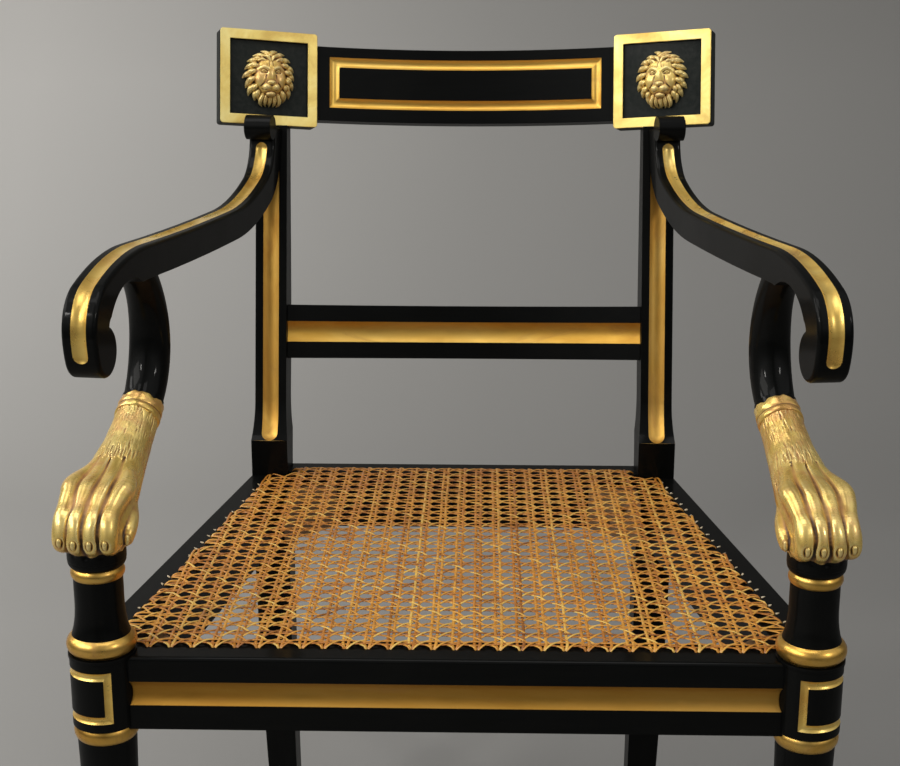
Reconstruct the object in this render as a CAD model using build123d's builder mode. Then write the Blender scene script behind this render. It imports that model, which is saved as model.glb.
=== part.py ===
from build123d import *
import os
from math import asin, atan2, cos, degrees, radians, sin, tan

os.makedirs("parts", exist_ok=True)

# Open armchair with turned front legs, sabre back legs, a caned seat, scrolled arms on paw
# supports and a bowed back with two square tablets. Millimetres, +Z up, front towards -Y.
# The floor is at Z = 0, and the right side (+X) is drawn first and mirrored.

# Seat frame
seat_height = 440.0
rail_height = 55.0
front_leg_x = 250.0
front_leg_y = -261.2
rail_front_reach = 11.7
front_rail_width = 32.0
rail_edge_round = 3.0
rail_flute_height = 18.0
rail_flute_drop = 18.5
rail_flute_depth = 3.6
side_rail_width = 34.0
side_rail_outer_x = 268.0
back_rail_width = 29.0
seat_run = 402.0

# Front legs, turned
foot_radius = 13.0
ankle_radius = 12.0
ankle_height = 26.0
foot_ring_radius = 16.5
foot_ring_height = 36.0
foot_ring_half = 4.5
leg_low_radius = 13.5
leg_top_radius = 21.0
low_ring_radius = 23.1
low_ring_half = 5.5
low_ring_drop = 58.4
block_radius = 23.4
step_radius = 24.0
step_height = 2.5
big_ring_radius = 24.7
big_ring_half = 6.8
neck_low_radius = 20.6
neck_radius = 17.2
neck_height = 42.0
small_ring_radius = 18.9
small_ring_half = 4.0
pad_radius = 20.3
pad_height = 10.0
panel_strip = 5.6
panel_depth = 1.6
panel_margin = 6.5
panel_half_angle = 70.25
panel_heading = -46.25

# Back legs with their posts in one piece
post_x = 186.2
post_width = 30.0
block_width = 34.6
block_top = 35.0
block_depth = 39.5
scoop_rise = 34.0
post_rake = 12.9
post_face_back = 18.7
post_depth_low = 38.0
post_depth_top = 25.0
leg_sweep = 58.0
leg_foot_depth = 27.0
leg_foot_width = 27.0
post_flute_width = 15.0
post_flute_depth = 2.6
post_flute_top = 258.0
post_flute_margin = 0.8

# Bowed back
bow_radius = 500.0
bow_y = 474.5
bow_z = 128.0
mid_rail_height = 52.0
mid_rail_drop = 27.3
mid_rail_thick = 19.0
mid_flute_height = 20.0
mid_flute_depth = 3.4
tenon_length = 14.0
tenon_shoulder = 6.0
crest_low = 204.7
crest_height = 71.6
crest_thick = 19.0
crest_panel_half = 132.3
crest_panel_low = 217.5
crest_panel_height = 49.0
crest_strip = 9.5
crest_strip_depth = 2.6

# Tablets at the ends of the crest
tablet_width = 95.0
tablet_height = 90.0
tablet_thick = 15.0
tablet_x = 188.0
tablet_low = 196.9
tablet_turn = 21.2
tablet_forward = 42.0
border_width = 9.4
border_thick = 3.0
border_corner = 3.0
mask_radius = 24.5
mask_height = 26.0
mask_lift = 10.0
muzzle_radius = 8.5
dowel_radius = 4.0
dowel_length = 36.0

# Arms, in an upright plane that runs from the front leg to the post
arm_thick = 25.0
arm_depth = 24.5
arm_back_x = 192.9
arm_back_run = 448.0
arm_start_s = 457.5
arm_start_z = 318.0
arm_start_heading = 261.5
arm_hollow_radius = 42.0
arm_hollow_turn = 63.0
arm_ease_radius = 320.0
arm_ease_turn = 19.0
arm_run_radius = 5500.0
arm_run_turn = 2.3
arm_shoulder_radius = 240.0
arm_shoulder_turn = 22.0
arm_nose_radius = 34.0
arm_nose_turn = 72.0
arm_drop_radius = 62.0
arm_drop_turn = 18.0
scroll_radius = 18.0
roll_radius = 11.5
roll_reach = 5.0
arm_edge_round = 3.0
arm_flute_width = 10.8
arm_flute_depth = 2.2
arm_flute_start_turn = 12.0
arm_flute_end_turn = 6.0
arm_screw_z = 306.0
arm_screw_across = 3.0
arm_screw_radius = 2.4
arm_screw_bite = 15.0
arm_screw_grip = 14.0
arm_screw_head = 4.6
arm_screw_head_thick = 3.0
plug_length = 6.0

# Paw supports
stem_foot_s = 96.95
stem_foot_z = 148.5
stem_bend = 67.0
stem_foot_heading = 33.0
stem_radius = 14.8
stem_depth = 31.0
stem_top_turn = 64.0
collar_radius = 15.9
collar_turn = 10.5
paw_width = 54.0
paw_length = 58.0
toe_radius = 11.5
toe_spread = 15.0
toe_reach = 20.0
toe_set_back = 8.0
paw_dowel_radius = 6.0
paw_dowel_half = 20.0
stem_dowel_radius = 5.0
stem_dowel_half = 16.0

# Caned seat
cane_thick = 1.6
cane_hole_front = 17.0
cane_hole_side = 16.5
cane_hole_back = 15.5
cane_post_gap = 2.0
cane_pitch = 30.0
cane_gap = 17.5
cane_edge = 5.0
cane_corner_run = 36.0

# Corner blocks and their screws
corner_leg = 46.0
corner_drop = 14.0
corner_screw_radius = 2.2
corner_screw_in = 16.0
corner_screw_bite = 14.0
corner_screw_grip = 14.0
corner_screw_head = 4.2
corner_screw_head_thick = 2.5
corner_screw_stagger = 9.0

# Shared places that follow from the sizes above
rail_low = seat_height - rail_height
rail_face_y = front_leg_y - rail_front_reach
rail_back_y = rail_face_y + front_rail_width
post_front_y = front_leg_y + seat_run
post_back_y = post_front_y + block_depth
post_inner_x = post_x - block_width / 2
post_outer_x = post_x + block_width / 2
low_ring_z = seat_height - low_ring_drop
big_ring_z = seat_height + step_height / 2 + big_ring_half
neck_base_z = big_ring_z + big_ring_half
small_ring_z = neck_base_z + neck_height + small_ring_half
pad_z = small_ring_z + small_ring_half
paw_z = pad_z + pad_height
side_slope = (side_rail_outer_x - post_outer_x) / seat_run

# Frame of the raked and bowed back: up along the rake, back across it
rake = radians(post_rake)
back_up = Vector(0, sin(rake), cos(rake))
back_out = Vector(0, cos(rake), -sin(rake))
back_base = Vector(0, front_leg_y + bow_y, seat_height + bow_z)
bow_axis = Axis(back_base - back_out * bow_radius, back_up)
bow_section = Plane(origin=back_base, x_dir=back_out, z_dir=(1, 0, 0))

# Upright dowels that join the paws to the legs
with BuildPart() as paw_dowels:
    with BuildSketch(Plane((front_leg_x, front_leg_y, paw_z - paw_dowel_half))):
        Circle(paw_dowel_radius)
    extrude(amount=2 * paw_dowel_half)
    mirror(about=Plane.YZ)
paw_dowels.part.label = "paw_dowels"

# Turned front leg
with BuildPart() as front_leg_right:
    with BuildSketch(Plane((front_leg_x, front_leg_y, 0), x_dir=(1, 0, 0), z_dir=(0, -1, 0))):
        with BuildLine():
            foot = Polyline((0, 0), (foot_radius - 2, 0), (foot_radius, 3), (ankle_radius, ankle_height))
            toe_in = Line(foot @ 1, (leg_low_radius, foot_ring_height - foot_ring_half))
            ring_a = ThreePointArc(
                toe_in @ 1,
                (foot_ring_radius, foot_ring_height),
                (leg_low_radius, foot_ring_height + foot_ring_half),
            )
            taper = Line(ring_a @ 1, (leg_top_radius, low_ring_z - low_ring_half))
            ring_b = ThreePointArc(
                taper @ 1, (low_ring_radius, low_ring_z), (leg_top_radius, low_ring_z + low_ring_half)
            )
            block = Polyline(
                ring_b @ 1,
                (block_radius, low_ring_z + low_ring_half),
                (block_radius, seat_height - step_height / 2),
                (step_radius, seat_height - step_height / 2),
                (step_radius, seat_height + step_height / 2),
                (neck_low_radius, seat_height + step_height / 2),
            )
            ring_c = ThreePointArc(
                block @ 1, (big_ring_radius, big_ring_z), (neck_low_radius, neck_base_z)
            )
            neck = Spline(
                ring_c @ 1,
                (neck_radius + 0.9, neck_base_z + neck_height * 0.25),
                (neck_radius, neck_base_z + neck_height * 0.6),
                (neck_radius, neck_base_z + neck_height),
            )
            ring_d = ThreePointArc(
                neck @ 1, (small_ring_radius, small_ring_z), (neck_radius, pad_z)
            )
            pad = ThreePointArc(
                ring_d @ 1, (pad_radius, pad_z + pad_height * 0.55), (pad_radius - 2.5, paw_z)
            )
            Polyline(pad @ 1, (0, paw_z), (0, 0))
        make_face()
    revolve(axis=Axis((front_leg_x, front_leg_y, 0), (0, 0, 1)))
    # Sunk rectangle round the outer side of the seat block
    panel_low = low_ring_z + low_ring_half + panel_margin
    panel_high = seat_height - step_height / 2 - panel_margin
    panel_start_angle = radians(panel_heading - panel_half_angle)
    panel_start = Plane(
        (front_leg_x, front_leg_y, 0),
        x_dir=(cos(panel_start_angle), sin(panel_start_angle), 0),
        z_dir=(sin(panel_start_angle), -cos(panel_start_angle), 0),
    )
    with BuildSketch(panel_start):
        for strip_z in (panel_low + panel_strip / 2, panel_high - panel_strip / 2):
            with Locations((block_radius, strip_z)):
                Rectangle(panel_depth * 2, panel_strip)
    revolve(
        axis=Axis((front_leg_x, front_leg_y, 0), (0, 0, 1)),
        revolution_arc=2 * panel_half_angle,
        mode=Mode.SUBTRACT,
    )
    with BuildSketch(panel_start):
        with Locations((block_radius, (panel_low + panel_high) / 2)):
            Rectangle(panel_depth * 2, panel_high - panel_low)
    revolve(
        axis=Axis((front_leg_x, front_leg_y, 0), (0, 0, 1)),
        revolution_arc=degrees(panel_strip / block_radius),
        mode=Mode.SUBTRACT,
    )
    panel_end_angle = radians(panel_heading + panel_half_angle) - panel_strip / block_radius
    with BuildSketch(
        Plane(
            (front_leg_x, front_leg_y, 0),
            x_dir=(cos(panel_end_angle), sin(panel_end_angle), 0),
            z_dir=(sin(panel_end_angle), -cos(panel_end_angle), 0),
        )
    ):
        with Locations((block_radius, (panel_low + panel_high) / 2)):
            Rectangle(panel_depth * 2, panel_high - panel_low)
    revolve(
        axis=Axis((front_leg_x, front_leg_y, 0), (0, 0, 1)),
        revolution_arc=degrees(panel_strip / block_radius),
        mode=Mode.SUBTRACT,
    )
    add(paw_dowels.part, mode=Mode.SUBTRACT)
front_leg_right.part.label = "front_leg_right"
with BuildPart() as front_leg_left:
    mirror(front_leg_right.part, about=Plane.YZ)
front_leg_left.part.label = "front_leg_left"

# Screws of the corner blocks, two to a block, driven into the rails
corner_top = seat_height - corner_drop
corner_x = side_rail_outer_x - side_rail_width - side_slope * (rail_back_y - front_leg_y)
corner_mid = (rail_low + corner_top) / 2
block_face_y = post_back_y - back_rail_width
side_lean = atan2(side_slope, 1)
side_out = Vector(cos(side_lean), sin(side_lean), 0)
corner_up = corner_mid + corner_screw_stagger
corner_down = corner_mid - corner_screw_stagger
corner_spots = (
    (Vector(corner_x - corner_screw_in, rail_back_y, corner_up), Vector(0, -1, 0)),
    (Vector(corner_x - side_slope * corner_screw_in, rail_back_y + corner_screw_in, corner_down), side_out),
    (Vector(post_inner_x - corner_screw_in, block_face_y, corner_up), Vector(0, 1, 0)),
    (Vector(post_inner_x, block_face_y - corner_screw_in, corner_down), Vector(1, 0, 0)),
)
with BuildPart() as corner_screws:
    for screw_at, screw_dir in corner_spots:
        corner_plane = Plane(origin=screw_at, x_dir=(0, 0, 1), z_dir=screw_dir)
        with BuildSketch(corner_plane.offset(-corner_screw_grip)):
            Circle(corner_screw_radius)
        extrude(amount=corner_screw_grip + corner_screw_bite)
        with BuildSketch(corner_plane.offset(-corner_screw_grip - corner_screw_head_thick)):
            Circle(corner_screw_head)
        extrude(amount=corner_screw_head_thick)
    mirror(about=Plane.YZ)
corner_screws.part.label = "corner_screws"

# Front seat rail with its hollow flute, tenoned up to the round leg blocks
with BuildPart() as front_seat_rail:
    with BuildSketch(Plane.YZ):
        with BuildLine():
            flute_top = seat_height - rail_flute_drop
            flute_low = flute_top - rail_flute_height
            edge = Polyline(
                (rail_face_y, flute_top),
                (rail_face_y, seat_height),
                (rail_back_y, seat_height),
                (rail_back_y, rail_low),
                (rail_face_y, rail_low),
                (rail_face_y, flute_low),
            )
            ThreePointArc(
                edge @ 1, (rail_face_y + rail_flute_depth, (flute_low + flute_top) / 2), edge @ 0
            )
        make_face()
    extrude(amount=front_leg_x, both=True)
    top_edges = front_seat_rail.edges().filter_by(Axis.X).group_by(Axis.Z)[-1]
    fillet(top_edges.sort_by(Axis.Y)[0], rail_edge_round)
    add(front_leg_right.part, mode=Mode.SUBTRACT)
    add(front_leg_left.part, mode=Mode.SUBTRACT)
    add(corner_screws.part, mode=Mode.SUBTRACT)
    rail_solid = front_seat_rail.solids().sort_by(SortBy.VOLUME)[-1]
    add(rail_solid, mode=Mode.REPLACE)
front_seat_rail.part.label = "front_seat_rail"

# Side seat rails, splayed from the back posts to the front legs
with BuildPart() as side_seat_rail_right:
    with BuildSketch(Plane.XY.offset(rail_low)):
        Polygon(
            (side_rail_outer_x, front_leg_y),
            (post_outer_x, post_front_y),
            (post_outer_x - side_rail_width, post_front_y),
            (side_rail_outer_x - side_rail_width, front_leg_y),
            align=None,
        )
    extrude(amount=rail_height)
    add(front_leg_right.part, mode=Mode.SUBTRACT)
    add(front_seat_rail.part, mode=Mode.SUBTRACT)
    add(corner_screws.part, mode=Mode.SUBTRACT)
    side_solid = side_seat_rail_right.solids().sort_by(SortBy.VOLUME)[-1]
    add(side_solid, mode=Mode.REPLACE)
side_seat_rail_right.part.label = "side_seat_rail_right"
with BuildPart() as side_seat_rail_left:
    mirror(side_seat_rail_right.part, about=Plane.YZ)
side_seat_rail_left.part.label = "side_seat_rail_left"

# Back seat rail between the post blocks
with BuildPart() as back_seat_rail:
    with BuildSketch(Plane.XY.offset(rail_low)):
        with Locations((0, post_back_y - back_rail_width / 2)):
            Rectangle(2 * post_inner_x, back_rail_width)
    extrude(amount=rail_height)
    add(corner_screws.part, mode=Mode.SUBTRACT)
back_seat_rail.part.label = "back_seat_rail"

# Lower back rail, bowed, with a hollow flute and a tenon at each end
with BuildPart() as mid_rail:
    rail_half = degrees(asin((post_x - post_width / 2) / bow_radius))
    tenon_half = rail_half + degrees(tenon_length / bow_radius)
    with BuildSketch(bow_section):
        with BuildLine():
            mid_low = -mid_rail_drop
            mid_high = mid_low + mid_rail_height
            mid_centre = (mid_low + mid_high) / 2
            outline = Polyline(
                (0, mid_centre + mid_flute_height / 2),
                (0, mid_high),
                (mid_rail_thick, mid_high),
                (mid_rail_thick, mid_low),
                (0, mid_low),
                (0, mid_centre - mid_flute_height / 2),
            )
            ThreePointArc(outline @ 1, (mid_flute_depth, mid_centre), outline @ 0)
        make_face()
    revolve(axis=bow_axis, revolution_arc=rail_half)
    mirror(about=Plane.YZ)
    with BuildSketch(bow_section):
        with Locations((mid_rail_thick / 2 + mid_flute_depth / 2, mid_centre)):
            Rectangle(
                mid_rail_thick - mid_flute_depth - tenon_shoulder, mid_rail_height - 2 * tenon_shoulder
            )
    revolve(axis=bow_axis, revolution_arc=tenon_half)
    mirror(about=Plane.YZ)
mid_rail.part.label = "mid_rail"

# Plane of the right tablet's front face: outward, up the rake, and towards the front
tablet_turned = radians(tablet_turn)
tablet_across = Vector(cos(tablet_turned), 0, 0) - back_out * sin(tablet_turned)
tablet_centre = (
    back_base
    + Vector(tablet_x, 0, 0)
    - back_out * tablet_forward
    + back_up * (tablet_low + tablet_height / 2)
)
tablet_normal = tablet_across.cross(back_up)
tablet_plane = Plane(
    origin=tablet_centre, x_dir=tablet_across, z_dir=tablet_normal
)

# Dowels that hold the tablets down on the posts
tablet_foot = tablet_plane.offset(-border_thick - tablet_thick / 2)
dowel_plane = Plane(
    origin=tablet_foot.from_local_coords(Vector(0, -tablet_height / 2 - dowel_length / 2, 0)),
    x_dir=tablet_across,
    z_dir=back_up,
)
with BuildPart() as tablet_dowels:
    with BuildSketch(dowel_plane):
        Circle(dowel_radius)
    extrude(amount=dowel_length)
    mirror(about=Plane.YZ)
tablet_dowels.part.label = "tablet_dowels"

with BuildPart() as tablet_right:
    with BuildSketch(tablet_plane.offset(-border_thick)):
        RectangleRounded(tablet_width, tablet_height, border_corner)
    extrude(amount=-tablet_thick)
    add(tablet_dowels.part, mode=Mode.SUBTRACT)
tablet_right.part.label = "tablet_right"
with BuildPart() as tablet_left:
    mirror(tablet_right.part, about=Plane.YZ)
tablet_left.part.label = "tablet_left"

# Flat gilt border planted on the face of the tablet
with BuildPart() as tablet_border_right:
    with BuildSketch(tablet_plane.offset(-border_thick)):
        RectangleRounded(tablet_width, tablet_height, border_corner)
        Rectangle(tablet_width - 2 * border_width, tablet_height - 2 * border_width, mode=Mode.SUBTRACT)
    extrude(amount=border_thick)
tablet_border_right.part.label = "tablet_border_right"
with BuildPart() as tablet_border_left:
    mirror(tablet_border_right.part, about=Plane.YZ)
tablet_border_left.part.label = "tablet_border_left"

# Animal mask on the sunk field: a domed mane with a raised brow and muzzle
mask_plane = tablet_plane.offset(-border_thick)
with BuildPart() as lion_mask_right:
    with BuildSketch(mask_plane):
        Ellipse(mask_radius, mask_height)
    with BuildSketch(mask_plane.offset(mask_lift * 0.4)):
        Ellipse(mask_radius * 0.86, mask_height * 0.86)
    with BuildSketch(mask_plane.offset(mask_lift * 0.62)):
        Ellipse(mask_radius * 0.55, mask_height * 0.62)
    loft()
    face_low = mask_plane.offset(mask_lift * 0.62)
    with BuildSketch(face_low):
        Ellipse(mask_radius * 0.5, mask_height * 0.58)
    with BuildSketch(mask_plane.offset(mask_lift)):
        with Locations((0, mask_height * 0.05)):
            Ellipse(mask_radius * 0.28, mask_height * 0.4)
    loft()
    with BuildSketch(mask_plane.offset(mask_lift * 0.5)):
        with Locations((0, -mask_height * 0.22)):
            Circle(muzzle_radius)
    extrude(amount=mask_lift * 0.72, taper=16)
lion_mask_right.part.label = "lion_mask_right"
with BuildPart() as lion_mask_left:
    mirror(lion_mask_right.part, about=Plane.YZ)
lion_mask_left.part.label = "lion_mask_left"

# Sunk rectangle on the face of the crest, bowed like the crest itself
panel_end = degrees(asin(crest_panel_half / bow_radius))
strip_turn = degrees(crest_strip / bow_radius)
crest_half = degrees(asin((tablet_x - tablet_width / 4) / bow_radius))
crest_planes = []
for bow_angle in (radians(crest_half), radians(panel_end), radians(panel_end - strip_turn)):
    crest_planes.append(
        Plane(
            origin=back_base
            + Vector(bow_radius * sin(bow_angle), 0, 0)
            + back_out * (bow_radius * (cos(bow_angle) - 1)),
            x_dir=Vector(sin(bow_angle), 0, 0) + back_out * cos(bow_angle),
            z_dir=Vector(cos(bow_angle), 0, 0) - back_out * sin(bow_angle),
        )
    )
with BuildPart() as crest_channel:
    with BuildSketch(crest_planes[1]):
        with Locations((0, crest_panel_low + crest_panel_height / 2)):
            Rectangle(2 * crest_strip_depth, crest_panel_height)
    revolve(axis=bow_axis, revolution_arc=2 * panel_end)
    with BuildSketch(crest_planes[2]):
        with Locations((0, crest_panel_low + crest_panel_height / 2)):
            Rectangle(4 * crest_strip_depth, crest_panel_height - 2 * crest_strip)
    revolve(axis=bow_axis, revolution_arc=2 * (panel_end - strip_turn), mode=Mode.SUBTRACT)

# Bowed crest rail between the tablets
with BuildPart() as crest_rail:
    with BuildSketch(crest_planes[0]):
        with Locations((crest_thick / 2, crest_low + crest_height / 2)):
            Rectangle(crest_thick, crest_height)
    revolve(axis=bow_axis, revolution_arc=2 * crest_half)
    add(tablet_right.part, mode=Mode.SUBTRACT)
    add(tablet_left.part, mode=Mode.SUBTRACT)
    add(tablet_border_right.part, mode=Mode.SUBTRACT)
    add(tablet_border_left.part, mode=Mode.SUBTRACT)
    crest_solid = crest_rail.solids().sort_by(SortBy.VOLUME)[-1]
    add(crest_solid, mode=Mode.REPLACE)
    add(crest_channel.part, mode=Mode.SUBTRACT)
crest_rail.part.label = "crest_rail"

# Back leg and post in one piece: the side outline cut by the front outline
post_foot_z = seat_height + block_top
post_line_y = post_front_y + post_face_back
post_line_z = post_foot_z + scoop_rise
post_top_z = tablet_centre.Z
post_top_y = post_line_y + (post_top_z - post_line_z) * tan(rake)
# Screws that hold the arms to the posts from behind, each under a turned plug
screw_spot = Vector(
    post_x + arm_screw_across,
    post_line_y + (seat_height + arm_screw_z - post_line_z) * tan(rake),
    seat_height + arm_screw_z,
)
screw_plane = Plane(origin=screw_spot, x_dir=(1, 0, 0), z_dir=back_out)
with BuildPart() as arm_screws:
    with BuildSketch(screw_plane.offset(-arm_screw_bite)):
        Circle(arm_screw_radius)
    extrude(amount=arm_screw_bite + arm_screw_grip)
    with BuildSketch(screw_plane.offset(arm_screw_grip)):
        Circle(arm_screw_head)
    extrude(amount=arm_screw_head_thick)
    mirror(about=Plane.YZ)
arm_screws.part.label = "arm_screws"
with BuildPart() as screw_plugs:
    with BuildSketch(screw_plane.offset(arm_screw_grip + arm_screw_head_thick)):
        Circle(arm_screw_head)
    extrude(amount=plug_length)
    mirror(about=Plane.YZ)
screw_plugs.part.label = "screw_plugs"

with BuildPart() as back_leg_right:
    with BuildSketch(Plane.YZ.offset(post_x)):
        with BuildLine():
            front_low = Line((post_front_y, post_foot_z), (post_front_y, rail_low))
            sweep_front = ThreePointArc(
                front_low @ 1,
                (post_front_y + leg_sweep * 0.24, rail_low * 0.5),
                (post_front_y + leg_sweep, 0),
            )
            sole = Line(sweep_front @ 1, (post_front_y + leg_sweep + leg_foot_depth, 0))
            sweep_back = ThreePointArc(
                sole @ 1,
                (post_back_y + (leg_sweep + leg_foot_depth - block_depth) * 0.26, rail_low * 0.5),
                (post_back_y, rail_low),
            )
            back_low = Line(sweep_back @ 1, (post_back_y, seat_height))
            back_high = Spline(
                back_low @ 1,
                (post_line_y + post_depth_low, post_line_z),
                (post_top_y + post_depth_top, post_top_z),
                tangents=((0.1, 1), (sin(rake), cos(rake))),
            )
            top = Line(back_high @ 1, (post_top_y, post_top_z))
            face = Line(top @ 1, (post_line_y, post_line_z))
            TangentArc(face @ 1, front_low @ 0, tangent=face % 1)
        make_face()
    extrude(amount=block_width, both=True)
    flare_waist = (block_width - post_width) * 0.13
    with BuildSketch(Plane.XZ.offset(-front_leg_y)):
        with BuildLine():
            low_side = Line((post_outer_x, post_foot_z), (post_outer_x, rail_low))
            foot_side = Line(low_side @ 1, (post_x + leg_foot_width / 2, 0))
            foot_line = Line(foot_side @ 1, (post_x - leg_foot_width / 2, 0))
            foot_inner = Line(foot_line @ 1, (post_inner_x, rail_low))
            low_inner = Line(foot_inner @ 1, (post_inner_x, post_foot_z))
            flare_in = ThreePointArc(
                low_inner @ 1,
                (post_x - post_width / 2 - flare_waist, post_foot_z + scoop_rise * 0.5),
                (post_x - post_width / 2, post_line_z),
            )
            top_line = Polyline(
                flare_in @ 1,
                (post_x - post_width / 2, post_top_z),
                (post_x + post_width / 2, post_top_z),
                (post_x + post_width / 2, post_line_z),
            )
            ThreePointArc(
                top_line @ 1,
                (post_x + post_width / 2 + flare_waist, post_foot_z + scoop_rise * 0.5),
                low_side @ 0,
            )
        make_face()
    extrude(amount=-2 * seat_run, mode=Mode.INTERSECT)
    add(tablet_right.part, mode=Mode.SUBTRACT)
    add(tablet_border_right.part, mode=Mode.SUBTRACT)
    add(mid_rail.part, mode=Mode.SUBTRACT)
    add(tablet_dowels.part, mode=Mode.SUBTRACT)
    add(arm_screws.part, mode=Mode.SUBTRACT)
    add(screw_plugs.part, mode=Mode.SUBTRACT)
    with BuildSketch(screw_plane.offset(arm_screw_grip + arm_screw_head_thick + plug_length)):
        Circle(arm_screw_head)
    extrude(amount=post_depth_low, mode=Mode.SUBTRACT)
    # The post stops under the tablet
    tablet_under = Plane(
        origin=tablet_foot.from_local_coords(Vector(0, -tablet_height / 2, 0)),
        x_dir=tablet_across,
        z_dir=back_up,
    )
    split(bisect_by=tablet_under, keep=Keep.BOTTOM)
    leg_solid = back_leg_right.solids().sort_by(SortBy.VOLUME)[-1]
    add(leg_solid, mode=Mode.REPLACE)
    # Hollow flute up the front face and down round the scoop, round at its foot
    flute_bulge = (post_flute_width**2 / 4 + post_flute_depth**2) / (2 * post_flute_depth)
    flute_lead = flute_bulge - post_flute_depth
    face_dir = Vector(0, sin(rake), cos(rake))
    face_out = Vector(0, -cos(rake), sin(rake))
    scoop_top = Vector(post_x, post_line_y, post_line_z)
    flute_start = scoop_top + face_out * flute_lead
    with BuildSketch(Plane(origin=flute_start, x_dir=(1, 0, 0), z_dir=face_dir)):
        Circle(flute_bulge)
    extrude(amount=post_flute_top, mode=Mode.SUBTRACT)
    scoop_chord = Vector(post_x, post_front_y, post_foot_z) - scoop_top
    scoop_radius = scoop_chord.dot(scoop_chord) / (2 * scoop_chord.dot(face_out))
    scoop_turn = 2 * asin(scoop_chord.length / (2 * scoop_radius))
    flute_turn = degrees(scoop_turn - (post_flute_width / 2 + post_flute_margin) / scoop_radius)
    scoop_centre = scoop_top + face_out * scoop_radius
    with BuildSketch(Plane(origin=flute_start, x_dir=(1, 0, 0), z_dir=face_dir)):
        Circle(flute_bulge)
    revolve(axis=Axis(scoop_centre, (-1, 0, 0)), revolution_arc=flute_turn, mode=Mode.SUBTRACT)
    with Locations(scoop_centre + (flute_start - scoop_centre).rotate(Axis.X, -flute_turn)):
        Sphere(flute_bulge, mode=Mode.SUBTRACT)
back_leg_right.part.label = "back_leg_right"
with BuildPart() as back_leg_left:
    mirror(back_leg_right.part, about=Plane.YZ)
back_leg_left.part.label = "back_leg_left"

# Upright plane of the right arm: along the arm, up, and outward
arm_slope = atan2(front_leg_x - arm_back_x, arm_back_run)
arm_along = Vector(-sin(arm_slope), cos(arm_slope), 0)
arm_plane = Plane(
    origin=(front_leg_x, front_leg_y, seat_height),
    x_dir=arm_along,
    z_dir=(cos(arm_slope), sin(arm_slope), 0),
)

# Bend of the support under the arm, whose inner side also rounds out the throat of the arm
bend_centre = Vector(
    stem_foot_s - stem_bend * sin(radians(stem_foot_heading)),
    stem_foot_z + stem_bend * cos(radians(stem_foot_heading)),
)

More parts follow.
